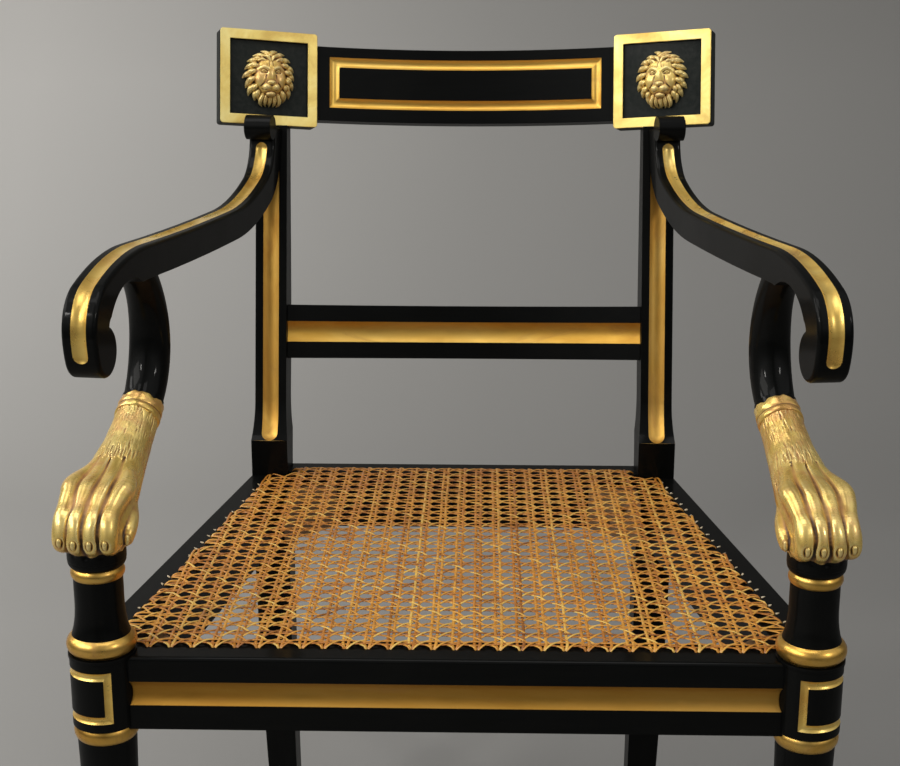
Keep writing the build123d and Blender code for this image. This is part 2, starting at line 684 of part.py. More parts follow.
# Scrolled arm, sawn from a plank: tangent arcs along its top and the same arcs one depth below
with BuildPart() as arm_right:
    with BuildSketch(arm_plane):
        with BuildLine():
            arm_start = (arm_start_s, arm_start_z)
            head = radians(arm_start_heading)
            hollow = JernArc(arm_start, (cos(head), sin(head)), arm_hollow_radius, -arm_hollow_turn)
            ease = JernArc(hollow @ 1, hollow % 1, arm_ease_radius, -arm_ease_turn)
            run = JernArc(ease @ 1, ease % 1, arm_run_radius, -arm_run_turn)
            shoulder = JernArc(run @ 1, run % 1, arm_shoulder_radius, arm_shoulder_turn)
            nose = JernArc(shoulder @ 1, shoulder % 1, arm_nose_radius, arm_nose_turn)
            drop = JernArc(nose @ 1, nose % 1, arm_drop_radius, arm_drop_turn)
            under_lead = Line(drop @ 1, (drop @ 1) + (drop % 1).rotate(Axis.Z, 90) * arm_depth)
            under_drop = JernArc(
                under_lead @ 1, (drop % 1) * -1, arm_drop_radius - arm_depth, -arm_drop_turn
            )
            under_nose = JernArc(
                under_drop @ 1, (nose % 1) * -1, arm_nose_radius - arm_depth, -arm_nose_turn
            )
            under_shoulder = JernArc(
                under_nose @ 1, (shoulder % 1) * -1, arm_shoulder_radius - arm_depth, -arm_shoulder_turn
            )
            under_run = JernArc(
                under_shoulder @ 1, (run % 1) * -1, arm_run_radius + arm_depth, arm_run_turn
            )
            under_ease = JernArc(
                under_run @ 1, (ease % 1) * -1, arm_ease_radius + arm_depth, arm_ease_turn
            )
            under_hollow = JernArc(
                under_ease @ 1, (hollow % 1) * -1, arm_hollow_radius + arm_depth, arm_hollow_turn
            )
            under_end = Line(under_hollow @ 1, (under_hollow @ 1) + (under_hollow % 1) * roll_radius)
            Polyline(
                under_end @ 1,
                (under_end @ 1) + (under_hollow % 1).rotate(Axis.Z, 90) * arm_depth,
                hollow @ 0,
            )
        make_face()
        with Locations(bend_centre):
            Circle(stem_bend - stem_depth / 2, mode=Mode.SUBTRACT)
        scroll_centre = (drop @ 1) + (drop % 1).rotate(Axis.Z, 90) * scroll_radius
        with Locations(scroll_centre):
            Circle(scroll_radius)
        roll_centre = Vector(arm_start_s - roll_reach, arm_start_z + roll_radius)
        with Locations(roll_centre):
            Circle(roll_radius)
    extrude(amount=arm_thick / 2, both=True)
    # Edges along the top are rounded from the roll to the scroll
    side_arcs = arm_right.faces().filter_by(arm_plane).edges().filter_by(GeomType.CIRCLE)
    fillet(side_arcs.filter_by(lambda edge: abs(edge.radius - arm_nose_radius) < 0.01), arm_edge_round)
    # Hollow flute along the top, one ring-shaped cut for each arc and a round end at each tip
    groove_radius = (arm_flute_width**2 / 4 + arm_flute_depth**2) / (2 * arm_flute_depth)
    groove_lift = groove_radius - arm_flute_depth
    groove_arcs = (
        (hollow, -1, arm_hollow_radius, arm_flute_start_turn, 0),
        (ease, -1, arm_ease_radius, 0, 0),
        (run, -1, arm_run_radius, 0, 0),
        (shoulder, 1, arm_shoulder_radius, 0, 0),
        (nose, 1, arm_nose_radius, 0, 0),
        (drop, 1, arm_drop_radius, 0, arm_flute_end_turn),
    )
    arc_turns = (
        arm_hollow_turn, arm_ease_turn, arm_run_turn, arm_shoulder_turn, arm_nose_turn, arm_drop_turn
    )
    for (arc, side, radius, skip_start, skip_end), turn in zip(groove_arcs, arc_turns):
        arc_start = arc @ 0
        arc_dir = arc % 0
        arc_left = arc_dir.rotate(Axis.Z, 90)
        arc_centre = arc_start + arc_left * (radius * side)
        out_dir = (arc_start - arc_centre).normalized().rotate(Axis.Z, skip_start * side)
        ring_radius = radius + groove_lift * side
        ring_dir = out_dir.rotate(Axis.Z, 90 * side)
        ring_start = arc_centre + out_dir * ring_radius
        world_out = arm_plane.x_dir * out_dir.X + Vector(0, 0, out_dir.Y)
        world_dir = arm_plane.x_dir * ring_dir.X + Vector(0, 0, ring_dir.Y)
        ring_axis = Axis(arm_plane.from_local_coords(arc_centre), arm_plane.z_dir * side)
        with BuildSketch(
            Plane(origin=arm_plane.from_local_coords(ring_start), x_dir=world_out, z_dir=world_dir)
        ):
            Circle(groove_radius)
        revolve(axis=ring_axis, revolution_arc=turn - skip_start - skip_end, mode=Mode.SUBTRACT)
        if skip_start:
            with Locations(arm_plane.from_local_coords(ring_start)):
                Sphere(groove_radius, mode=Mode.SUBTRACT)
        if skip_end:
            ring_end = arc_centre + out_dir.rotate(Axis.Z, (turn - skip_end) * side) * ring_radius
            with Locations(arm_plane.from_local_coords(ring_end)):
                Sphere(groove_radius, mode=Mode.SUBTRACT)
    add(back_leg_right.part, mode=Mode.SUBTRACT)
    add(tablet_right.part, mode=Mode.SUBTRACT)
    add(tablet_border_right.part, mode=Mode.SUBTRACT)
    add(arm_screws.part, mode=Mode.SUBTRACT)
    arm_solid = arm_right.solids().sort_by(SortBy.VOLUME)[-1]
    add(arm_solid, mode=Mode.REPLACE)
arm_right.part.label = "arm_right"
with BuildPart() as arm_left:
    mirror(arm_right.part, about=Plane.YZ)
arm_left.part.label = "arm_left"

# Stem of the support: a round bar on one bend that turns oval under the arm
stem_low_angle = stem_foot_heading - 90
stem_planes = []
for bend_angle in (stem_low_angle, stem_low_angle + collar_turn, 0, 24, 42, stem_top_turn):
    along = radians(bend_angle)
    spot = bend_centre + Vector(cos(along), sin(along)) * stem_bend
    stem_planes.append(
        Plane(
            origin=arm_plane.from_local_coords(spot),
            x_dir=arm_plane.z_dir,
            z_dir=(arm_plane.x_dir * -sin(along) + Vector(0, 0, cos(along))),
        )
    )
# Dowels between the stems and the paws
with BuildPart() as stem_dowels:
    with BuildSketch(stem_planes[0].offset(-stem_dowel_half)):
        Circle(stem_dowel_radius)
    extrude(amount=2 * stem_dowel_half)
    mirror(about=Plane.YZ)
stem_dowels.part.label = "stem_dowels"

with BuildPart() as arm_stem_right:
    with BuildSketch(stem_planes[0]):
        Circle(collar_radius)
    with BuildSketch(stem_planes[1]):
        Circle(collar_radius - 0.4)
    loft()
    with BuildSketch(stem_planes[1]):
        Circle(stem_radius)
    with BuildSketch(stem_planes[2]):
        Circle((stem_radius + stem_depth / 2) / 2)
    with BuildSketch(stem_planes[3]):
        Ellipse((stem_radius + arm_thick / 2) / 2, stem_depth / 2)
    with BuildSketch(stem_planes[4]):
        Ellipse(arm_thick / 2, stem_depth / 2)
    with BuildSketch(stem_planes[5]):
        Ellipse(arm_thick / 2, stem_depth / 2)
    loft()
    add(arm_right.part, mode=Mode.SUBTRACT)
    add(stem_dowels.part, mode=Mode.SUBTRACT)
    stem_solid = arm_stem_right.solids().sort_by(SortBy.VOLUME)[-1]
    add(stem_solid, mode=Mode.REPLACE)
arm_stem_right.part.label = "arm_stem_right"
with BuildPart() as arm_stem_left:
    mirror(arm_stem_right.part, about=Plane.YZ)
arm_stem_left.part.label = "arm_stem_left"

# Carved paw: from the collar down and forward to four toes on the leg's pad.
# Each row is along the arm, up, the tilt, and the half width and half depth there.
paw_rise = stem_foot_z - (paw_z - seat_height)
paw_sections = (
    (stem_foot_s * 0.78, stem_foot_z - paw_rise * 0.25, 42, paw_width * 0.325, paw_length * 0.325),
    (stem_foot_s * 0.52, stem_foot_z - paw_rise * 0.44, 47, paw_width * 0.4, paw_length * 0.38),
    (stem_foot_s * 0.3, stem_foot_z - paw_rise * 0.57, 46, paw_width * 0.47, paw_length * 0.42),
    (stem_foot_s * 0.13, stem_foot_z - paw_rise * 0.67, 52, paw_width * 0.51, paw_length * 0.48),
)
with BuildPart() as paw_right:
    with BuildSketch(stem_planes[0]):
        Circle(collar_radius - 0.6)
    for spot_s, spot_z, tilt, half_wide, half_long in paw_sections:
        lean = radians(tilt)
        with BuildSketch(
            Plane(
                origin=arm_plane.from_local_coords(Vector(spot_s, spot_z)),
                x_dir=arm_plane.z_dir,
                z_dir=arm_plane.x_dir * cos(lean) + Vector(0, 0, sin(lean)),
            )
        ):
            Ellipse(half_wide, half_long)
    paw_floor = Plane(
        origin=(front_leg_x, front_leg_y, paw_z),
        x_dir=arm_plane.z_dir,
        z_dir=(0, 0, 1),
    )
    with BuildSketch(paw_floor):
        Ellipse(paw_width * 0.46, paw_length * 0.47)
    loft()
    for toe_step, toe_back in ((-1.5, toe_set_back), (-0.5, 0), (0.5, 0), (1.5, toe_set_back)):
        toe_spot = paw_floor.from_local_coords(Vector(toe_step * toe_spread, 0, toe_radius * 0.9))
        toe_spot = toe_spot - arm_along * (toe_reach - toe_back)
        with Locations(toe_spot):
            Sphere(toe_radius)
    split(bisect_by=paw_floor, keep=Keep.TOP)
    add(paw_dowels.part, mode=Mode.SUBTRACT)
    add(stem_dowels.part, mode=Mode.SUBTRACT)
    paw_solid = paw_right.solids().sort_by(SortBy.VOLUME)[-1]
    add(paw_solid, mode=Mode.REPLACE)
paw_right.part.label = "paw_right"
with BuildPart() as paw_left:
    mirror(paw_right.part, about=Plane.YZ)
paw_left.part.label = "paw_left"

# Caned panel: one sheet with eight-sided gaps, let in over the inner edge of the frame
cane_front_y = rail_face_y + cane_hole_front - cane_edge
cane_back_y = post_back_y - cane_hole_back + cane_edge
cane_post_y = post_front_y - cane_post_gap
cane_side_front = side_rail_outer_x - cane_hole_side + cane_edge
cane_side_back = post_outer_x - cane_hole_side + cane_edge
cane_corner_y = cane_front_y + cane_corner_run
cane_corner_x = cane_side_front - side_slope * (cane_corner_y - front_leg_y)
with BuildPart() as cane_seat:
    with BuildSketch(Plane.XY.offset(seat_height)):
        Polygon(
            (front_leg_x - big_ring_radius - cane_post_gap, cane_front_y),
            (front_leg_x - big_ring_radius - cane_post_gap, cane_corner_y),
            (cane_corner_x, cane_corner_y),
            (cane_side_back, cane_post_y),
            (post_inner_x - cane_post_gap, cane_post_y),
            (post_inner_x - cane_post_gap, cane_back_y),
            (-post_inner_x + cane_post_gap, cane_back_y),
            (-post_inner_x + cane_post_gap, cane_post_y),
            (-cane_side_back, cane_post_y),
            (-cane_corner_x, cane_corner_y),
            (-front_leg_x + big_ring_radius + cane_post_gap, cane_corner_y),
            (-front_leg_x + big_ring_radius + cane_post_gap, cane_front_y),
            align=None,
        )
        rows = int((cane_back_y - cane_front_y - 2 * cane_edge) / cane_pitch)
        first_row = (cane_front_y + cane_back_y) / 2 - (rows - 1) * cane_pitch / 2
        gap_spots = []
        for row in range(rows):
            gap_y = first_row + row * cane_pitch
            side_x = cane_side_front - side_slope * (gap_y + cane_gap / 2 - front_leg_y) - cane_edge
            if gap_y - cane_gap / 2 < cane_corner_y + cane_edge:
                side_x = min(side_x, front_leg_x - big_ring_radius - cane_post_gap - cane_edge)
            if gap_y + cane_gap / 2 > cane_post_y - cane_edge:
                side_x = min(side_x, post_inner_x - cane_post_gap - cane_edge)
            count = int((side_x - cane_gap / 2) / cane_pitch)
            for column in range(-count, count + 1):
                gap_spots.append((column * cane_pitch, gap_y))
        with Locations(*gap_spots):
            RegularPolygon(cane_gap / 2, 8, rotation=22.5, mode=Mode.SUBTRACT)
    extrude(amount=cane_thick)
cane_seat.part.label = "cane_seat"

# Corner blocks glued and screwed inside the frame, below the cane
with BuildPart() as corner_block_front_right:
    with BuildSketch(Plane.XY.offset(rail_low)):
        Polygon(
            (corner_x, rail_back_y),
            (corner_x - side_slope * corner_leg, rail_back_y + corner_leg),
            (corner_x - corner_leg, rail_back_y),
            align=None,
        )
    extrude(amount=corner_top - rail_low)
    add(front_leg_right.part, mode=Mode.SUBTRACT)
    add(side_seat_rail_right.part, mode=Mode.SUBTRACT)
    for screw_at, screw_dir in corner_spots[:2]:
        corner_plane = Plane(origin=screw_at, x_dir=(0, 0, 1), z_dir=screw_dir)
        with BuildSketch(corner_plane.offset(-corner_screw_grip)):
            Circle(corner_screw_head)
        extrude(amount=-corner_leg, mode=Mode.SUBTRACT)
    add(corner_screws.part, mode=Mode.SUBTRACT)
corner_block_front_right.part.label = "corner_block_front_right"
with BuildPart() as corner_block_front_left:
    mirror(corner_block_front_right.part, about=Plane.YZ)
corner_block_front_left.part.label = "corner_block_front_left"

with BuildPart() as corner_block_back_right:
    with BuildSketch(Plane.XY.offset(rail_low)):
        Polygon(
            (post_inner_x, block_face_y),
            (post_inner_x, block_face_y - corner_leg),
            (post_inner_x - corner_leg, block_face_y),
            align=None,
        )
    extrude(amount=corner_top - rail_low)
    add(side_seat_rail_right.part, mode=Mode.SUBTRACT)
    add(back_leg_right.part, mode=Mode.SUBTRACT)
    for screw_at, screw_dir in corner_spots[2:]:
        corner_plane = Plane(origin=screw_at, x_dir=(0, 0, 1), z_dir=screw_dir)
        with BuildSketch(corner_plane.offset(-corner_screw_grip)):
            Circle(corner_screw_head)
        extrude(amount=-corner_leg, mode=Mode.SUBTRACT)
    add(corner_screws.part, mode=Mode.SUBTRACT)
corner_block_back_right.part.label = "corner_block_back_right"
with BuildPart() as corner_block_back_left:
    mirror(corner_block_back_right.part, about=Plane.YZ)
corner_block_back_left.part.label = "corner_block_back_left"

for piece in (
    front_leg_right,
    front_leg_left,
    front_seat_rail,
    side_seat_rail_right,
    side_seat_rail_left,
    back_seat_rail,
    mid_rail,
    tablet_dowels,
    paw_dowels,
    stem_dowels,
    arm_screws,
    screw_plugs,
    corner_screws,
    tablet_right,
    tablet_left,
    tablet_border_right,
    tablet_border_left,
    lion_mask_right,
    lion_mask_left,
    crest_rail,
    back_leg_right,
    back_leg_left,
    arm_right,
    arm_left,
    arm_stem_right,
    arm_stem_left,
    paw_right,
    paw_left,
    cane_seat,
    corner_block_front_right,
    corner_block_front_left,
    corner_block_back_right,
    corner_block_back_left,
):
    export_step(piece.part, f"parts/{piece.part.label}.step")
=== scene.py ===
from math import asin, atan2, cos, pi, radians, sin

import bpy
import numpy as np
from mathutils import Matrix, Vector


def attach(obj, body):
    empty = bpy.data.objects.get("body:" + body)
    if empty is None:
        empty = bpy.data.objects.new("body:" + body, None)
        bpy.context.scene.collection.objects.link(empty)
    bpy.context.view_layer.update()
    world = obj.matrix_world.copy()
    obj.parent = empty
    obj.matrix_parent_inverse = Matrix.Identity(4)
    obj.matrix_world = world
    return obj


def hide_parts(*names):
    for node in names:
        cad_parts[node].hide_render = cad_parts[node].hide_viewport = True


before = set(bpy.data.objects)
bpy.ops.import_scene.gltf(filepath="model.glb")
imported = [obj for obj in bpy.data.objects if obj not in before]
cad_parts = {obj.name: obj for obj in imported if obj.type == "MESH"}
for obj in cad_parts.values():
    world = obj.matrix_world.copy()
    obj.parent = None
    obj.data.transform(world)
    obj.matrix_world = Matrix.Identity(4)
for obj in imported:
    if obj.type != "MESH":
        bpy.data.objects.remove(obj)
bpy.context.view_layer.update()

MM = 0.001
rng = np.random.default_rng(7)

# Sizes shared with the solids, in millimetres
seat_z = 440.0
leg_x = 250.0
leg_y = -261.2
rail_face_y = leg_y - 11.7
rail_flute_z, rail_flute_half, rail_flute_depth = seat_z - 27.5, 9.0, 3.8
foot_ring_z, foot_ring_half = 36.0, 4.5
low_ring_z, low_ring_half = seat_z - 58.4, 5.5
block_step = 1.25
block_radius = 23.4
big_ring_half, small_ring_half = 6.8, 4.0
neck_height, pad_height = 42.0, 10.0
big_ring_z = seat_z + block_step + big_ring_half
small_ring_z = big_ring_z + big_ring_half + neck_height + small_ring_half
paw_z = small_ring_z + small_ring_half + pad_height
seat_run = 402.0
post_x = 186.2
post_setback, post_block_rise = 18.7, 35.0
post_flute_width, post_flute_depth, post_flute_top = 15.0, 2.6, 258.0
scoop_rise = 34.0
rake = radians(12.9)
bow_radius = 500.0
back_base = np.array([0.0, leg_y + 474.5, seat_z + 128.0])
back_up = np.array([0.0, sin(rake), cos(rake)])
back_out = np.array([0.0, cos(rake), -sin(rake)])
arm_back_x, arm_run = 192.9, 448.0
arm_slope = atan2(leg_x - arm_back_x, arm_run)
arm_along = np.array([-sin(arm_slope), cos(arm_slope), 0.0])
arm_out = np.array([cos(arm_slope), sin(arm_slope), 0.0])
up = np.array([0.0, 0.0, 1.0])
arm_frame = np.array([arm_along, arm_out, up])
arm_origin = np.array([leg_x, leg_y, seat_z])
MIRROR = np.array([-1.0, 1.0, 1.0])
SIDES = ("right", "left")


# Small helpers for node trees and materials
class Nodes:
    def __init__(self, tree):
        self.tree = tree

    def add(self, kind, **inputs):
        node = self.tree.nodes.new(kind)
        for key, value in inputs.items():
            self.put(node.inputs[key.replace("_", " ")], value)
        return node

    def put(self, socket, value):
        if isinstance(value, bpy.types.NodeSocket):
            self.tree.links.new(value, socket)
        else:
            socket.default_value = value

    def ramp(self, value, stops):
        node = self.add("ShaderNodeValToRGB", Fac=value)
        band = node.color_ramp
        for at, _ in stops[1:-1]:
            band.elements.new(at)
        for element, (at, colour) in zip(band.elements, stops):
            element.position = at
            element.color = (*colour, 1.0)
        return node.outputs["Color"]

    def grey(self, value, stops):
        return self.ramp(value, [(at, (v, v, v)) for at, v in stops])

    def math(self, kind, a, b=0.0, clamp=False):
        node = self.tree.nodes.new("ShaderNodeMath")
        node.operation = kind
        node.use_clamp = clamp
        self.put(node.inputs[0], a)
        self.put(node.inputs[1], b)
        return node.outputs[0]

    def spread(self, value, start, end):
        node = self.add("ShaderNodeMapRange", Value=value)
        for key, number in zip(("From Min", "From Max", "To Min", "To Max"), (*start, *end)):
            node.inputs[key].default_value = number
        return node.outputs[0]


class Mat(Nodes):
    def __init__(self, name):
        self.mat = bpy.data.materials.new(name)
        self.mat.use_nodes = True
        super().__init__(self.mat.node_tree)
        self.shader = self.tree.nodes["Principled BSDF"]
        self.coords = self.add("ShaderNodeTexCoord").outputs["Object"]

    def noise(self, scale, detail=4.0, rough=0.55, stretch=(1, 1, 1), warp=0.0):
        place = self.add("ShaderNodeMapping", Vector=self.coords, Scale=stretch).outputs[0]
        tex = self.add("ShaderNodeTexNoise", Vector=place, Scale=scale, Detail=detail, Roughness=rough,
                       Distortion=warp)
        return tex.outputs["Fac"]

    def attribute(self, name):
        node = self.add("ShaderNodeAttribute")
        node.attribute_name = name
        return node.outputs["Fac"]

    def mix(self, fac, a, b):
        node = self.tree.nodes.new("ShaderNodeMix")
        node.data_type = "RGBA"
        self.put(node.inputs[0], fac)
        for socket, value in ((node.inputs[6], a), (node.inputs[7], b)):
            if not isinstance(value, bpy.types.NodeSocket):
                value = (*value, 1.0)
            self.put(socket, value)
        return node.outputs[2]

    def bump(self, height, distance, strength=1.0, normal=None):
        node = self.add("ShaderNodeBump", Height=height, Distance=distance, Strength=strength)
        if normal is not None:
            self.put(node.inputs["Normal"], normal)
        return node.outputs["Normal"]

    def round_edges(self, radius):
        node = self.add("ShaderNodeBevel", Radius=radius)
        node.samples = 6
        return node.outputs["Normal"]

    def set(self, **values):
        for key, value in values.items():
            self.put(self.shader.inputs[key.replace("_", " ")], value)


# Black stain and polish: grain along one axis, faint rubbed places, soft shine; a lift above 1 brightens the
# black colour as painted sheen
def ebony(name, along=(1, 1, 1), polish=(0.05, 0.16), lift=1.0):
    def with_painted_sheen(*colour):
        return tuple(c * lift for c in colour)

    m = Mat(name)
    grain = m.noise(190.0, 5.0, 0.6, along, 0.3)
    cloud = m.noise(9.0, 5.0, 0.6)
    fine = m.noise(900.0, 2.0)
    tone = m.ramp(cloud, [
        (0.3, with_painted_sheen(0.0011, 0.0014, 0.0013)),
        (0.62, with_painted_sheen(0.0018, 0.0021, 0.0020)),
        (0.8, with_painted_sheen(0.0036, 0.0037, 0.0032)),
    ])
    tone = m.mix(m.grey(grain, [(0.4, 0.0), (0.8, 0.5)]), tone, with_painted_sheen(0.0040, 0.0042, 0.0038))
    rub = m.noise(70.0, 6.0, 0.7)
    tone = m.mix(m.grey(rub, [(0.66, 0.0), (0.8, 0.3)]), tone, (0.018, 0.014, 0.010))
    m.set(Base_Color=tone)
    rough = m.math("ADD", m.grey(cloud, [(0.25, 0.46), (0.75, 0.58)]), m.math("MULTIPLY", fine, 0.06))
    m.set(Roughness=rough, Specular_IOR_Level=polish[0], Coat_Weight=polish[1], Coat_Roughness=0.09)
    normal = m.round_edges(0.0011)
    normal = m.bump(grain, 0.00025, 0.3, normal)
    normal = m.bump(fine, 0.00008, 0.3, normal)
    m.set(Normal=normal)
    return m.mat


# Gold leaf over red bole: wear lets the bole through. A carved piece is washed, its hollows take bole, dirt
# and painted shade, and its ridges a painted highlight
def gilding(name, along=(1, 1, 1), cavity=False, edge=0.0008, wear=0.5, rough=(0.36, 0.5),
            tint_and_painted_light=(1, 1, 1), metal=0.95):
    m = Mat(name)
    leaf = m.noise(26.0, 6.0, 0.62, along, 0.5)
    cloud = m.noise(60.0, 6.0, 0.65)
    fine = m.noise(700.0, 3.0, 0.6)
    stops = ((0.28, (0.60, 0.335, 0.062)), (0.5, (0.82, 0.555, 0.13)), (0.74, (0.93, 0.71, 0.23)))
    # The tint scales the gold per copy: it shifts hue, and paints light on some copies and shade on others
    gold = m.ramp(leaf, [(at, tuple(c * k for c, k in zip(colour, tint_and_painted_light))) for at, colour in stops])
    bole = m.ramp(cloud, [(0.3, (0.13, 0.036, 0.012)), (0.7, (0.40, 0.155, 0.05))])
    rub = m.grey(m.noise(46.0, 7.0, 0.68, along, 0.8), [(0.5 + 0.1 * (1 - wear), 0.0), (0.8, wear)])
    if cavity:
        hollow = m.attribute("cavity")
        # Bole in the hollows: partly real bole, partly painted shade
        deep = m.grey(hollow, [(0.5, 0.0), (0.72, 0.7), (0.95, 0.97)])
        # Painted highlight: pale gold on the ridges
        high = m.grey(hollow, [(0.2, 0.6), (0.44, 0.0)])
        rub = m.math("MAXIMUM", m.math("MULTIPLY", rub, 0.7), deep)
        wash = m.grey(m.noise(48.0, 5.0, 0.6, (1, 1, 1), 0.8), [(0.48, 0.0), (0.64, 0.6)])
        gold = m.mix(wash, gold, (0.70, 0.34, 0.13))
        gold = m.mix(high, gold, (0.97, 0.80, 0.37))
        # Deepest hollows near black: dirt and painted shade
        dirt_and_painted_shade = m.grey(hollow, [(0.74, 0.0), (1.0, 1.0)])
        bole = m.mix(dirt_and_painted_shade, bole, (0.03, 0.011, 0.006))
    m.set(Base_Color=m.mix(rub, gold, bole))
    m.set(Metallic=m.math("SUBTRACT", metal, m.math("MULTIPLY", rub, 0.8), True))
    shine = m.math("ADD", m.grey(cloud, [(0.3, rough[0]), (0.72, rough[1])]), m.math("MULTIPLY", rub, 0.2))
    m.set(Roughness=shine)
    normal = m.round_edges(edge) if edge else None
    normal = m.bump(cloud, 0.0004, 0.25, normal)
    normal = m.bump(fine, 0.00012, 0.3, normal)
    m.set(Normal=normal)
    return m.mat


def bare_wood(name):
    m = Mat(name)
    grain = m.noise(60.0, 6.0, 0.65, (1, 1, 9), 1.2)
    m.set(Base_Color=m.ramp(grain, [(0.3, (0.20, 0.11, 0.05)), (0.7, (0.40, 0.25, 0.13))]))
    m.set(Roughness=m.grey(grain, [(0.3, 0.7), (0.7, 0.55)]))
    m.set(Normal=m.bump(grain, 0.0004, 0.5, m.round_edges(0.0008)))
    return m.mat


def dull_steel(name):
    m = Mat(name)
    stain = m.noise(240.0, 6.0, 0.7)
    m.set(Base_Color=m.ramp(stain, [(0.35, (0.10, 0.075, 0.06)), (0.65, (0.33, 0.32, 0.31))]))
    m.set(Metallic=m.grey(stain, [(0.35, 0.5), (0.6, 1.0)]))
    m.set(Roughness=m.grey(stain, [(0.3, 0.65), (0.7, 0.38)]))
    m.set(Normal=m.bump(stain, 0.0002, 0.4))
    return m.mat


def woven_cane(name):
    m = Mat(name)
    strand = m.attribute("tone")
    rear_darkening = m.attribute("rear_darkening")
    streak = m.noise(220.0, 5.0, 0.6, (1, 1, 1), 0.4)
    stain = m.noise(28.0, 6.0, 0.65)
    body = m.ramp(strand, [
        (0.0, (0.26, 0.085, 0.013)),
        (0.35, (0.55, 0.205, 0.025)),
        (0.7, (0.78, 0.375, 0.052)),
        (1.0, (0.90, 0.58, 0.13)),
    ])
    body = m.mix(m.grey(streak, [(0.45, 0.0), (0.8, 0.5)]), body, (0.30, 0.10, 0.016))
    body = m.mix(m.grey(stain, [(0.52, 0.0), (0.76, 0.55)]), body, (0.17, 0.052, 0.011))
    # Strands darker towards the back of the seat
    body = m.mix(m.math("MULTIPLY", rear_darkening, 0.55), body, (0.36, 0.125, 0.018))
    m.set(Base_Color=body, Roughness=m.grey(streak, [(0.3, 0.26), (0.75, 0.44)]))
    m.set(Specular_IOR_Level=0.55, Coat_Weight=0.2, Coat_Roughness=0.2)
    m.set(Normal=m.bump(streak, 0.0003, 0.5))
    return m.mat


def pale_fibre(name):
    m = Mat(name)
    streak = m.noise(400.0, 4.0)
    m.set(Base_Color=m.ramp(streak, [(0.3, (0.50, 0.36, 0.18)), (0.7, (0.82, 0.74, 0.58))]))
    m.set(Roughness=m.grey(streak, [(0.3, 0.5), (0.7, 0.7)]), Normal=m.bump(streak, 0.0003, 0.5))
    return m.mat


BLACK = ebony("ebonised_wood")
BLACK_RAIL = ebony("ebonised_rail", (0.08, 1, 1))
BLACK_SIDE = ebony("ebonised_side", (1, 0.08, 1))
BLACK_POST = ebony("ebonised_post", (1, 1, 0.08))
BLACK_DULL = ebony("ebonised_edge", polish=(0.02, 0.02))
# Sunk field of each tablet: its black is lifted eleven times, a painted sheen in the colour
BLACK_FIELD_PAINTED_SHEEN = ebony("ebonised_field_painted_sheen", polish=(0.05, 0.05), lift=11.0)
# Copies of one gilding: besides shifting hue, the tints darken the rings, rails, front rail and posts as
# painted shade, and lighten the tablet frames, carved paws and masks as painted light
GOLD = gilding("water_gilding", rough=(0.24, 0.36), tint_and_painted_light=(1.05, 1.05, 1.1), metal=0.66)
GOLD_RING = gilding("gilding_ring", wear=0.7, rough=(0.25, 0.36), tint_and_painted_light=(0.92, 0.80, 0.72))
GOLD_RAIL = gilding("gilding_rail", (0.12, 1, 1), wear=0.5, rough=(0.44, 0.58), tint_and_painted_light=(0.76, 0.65, 0.5))
GOLD_CREST = gilding("gilding_crest", (0.12, 1, 1), rough=(0.36, 0.5), tint_and_painted_light=(1.05, 0.95, 0.78), metal=0.8)
GOLD_FRONT_PAINTED_SHADE = gilding("gilding_front_painted_shade", (0.1, 1, 1), wear=0.6, rough=(0.46, 0.6), tint_and_painted_light=(0.60, 0.47, 0.34))
GOLD_POST = gilding("gilding_post", (1, 1, 0.15), wear=0.5, rough=(0.42, 0.56), tint_and_painted_light=(0.76, 0.65, 0.58))
GOLD_FRAME = gilding("gilding_frame", wear=0.22, edge=0.0012, rough=(0.36, 0.48), tint_and_painted_light=(1.05, 1.19, 1.6))
GOLD_CARVED = gilding("gilding_carved", cavity=True, edge=0.0, wear=0.7, rough=(0.2, 0.34),
                      tint_and_painted_light=(1.07, 1.1, 1.2), metal=0.62)
GOLD_MASK = gilding("gilding_mask", cavity=True, edge=0.0, wear=0.35, rough=(0.24, 0.36),
                    tint_and_painted_light=(1.07, 1.09, 1.1), metal=0.36)
WOOD = bare_wood("bare_wood")
STEEL = dull_steel("dull_steel")
CANE = woven_cane("woven_cane")
FRAY = pale_fibre("pale_fibre")


# Object and mesh helpers
def put_in(name, data):
    obj = bpy.data.objects.new(name, data)
    bpy.context.scene.collection.objects.link(obj)
    return obj


def new_piece(name, points, faces, materials, slots=None, attributes=None):
    mesh = bpy.data.meshes.new(name)
    mesh.from_pydata((np.asarray(points) * MM).tolist(), [], faces)
    for material in materials:
        mesh.materials.append(material)
    if slots is not None:
        mesh.polygons.foreach_set("material_index", np.asarray(slots, np.int32))
    mesh.polygons.foreach_set("use_smooth", np.full(len(mesh.polygons), True))
    for key, values in (attributes or {}).items():
        layer = mesh.attributes.new(key, "FLOAT", "POINT")
        layer.data.foreach_set("value", np.asarray(values, np.float32))
    mesh.update()
    obj = put_in(name, mesh)
    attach(obj, "root")
    return obj


# A gilt piece on the right, and its mirror image on the left
def gilt_pair(name, points, faces, material, attributes=None):
    for side in SIDES:
        obj = new_piece(f"{name}_{side}", points, faces, [material], attributes=attributes)
        points = points * MIRROR
        faces = [face[::-1] for face in faces]


def grid_faces(rows, columns, closed=False):
    faces = []
    for i in range(rows - 1):
        for j in range(columns if closed else columns - 1):
            a = i * columns + j
            b = i * columns + (j + 1) % columns
            faces.append((a, b, b + columns, a + columns))
    return faces


def unit(rows):
    return rows / (np.linalg.norm(rows, axis=1)[:, None] + 1e-9)


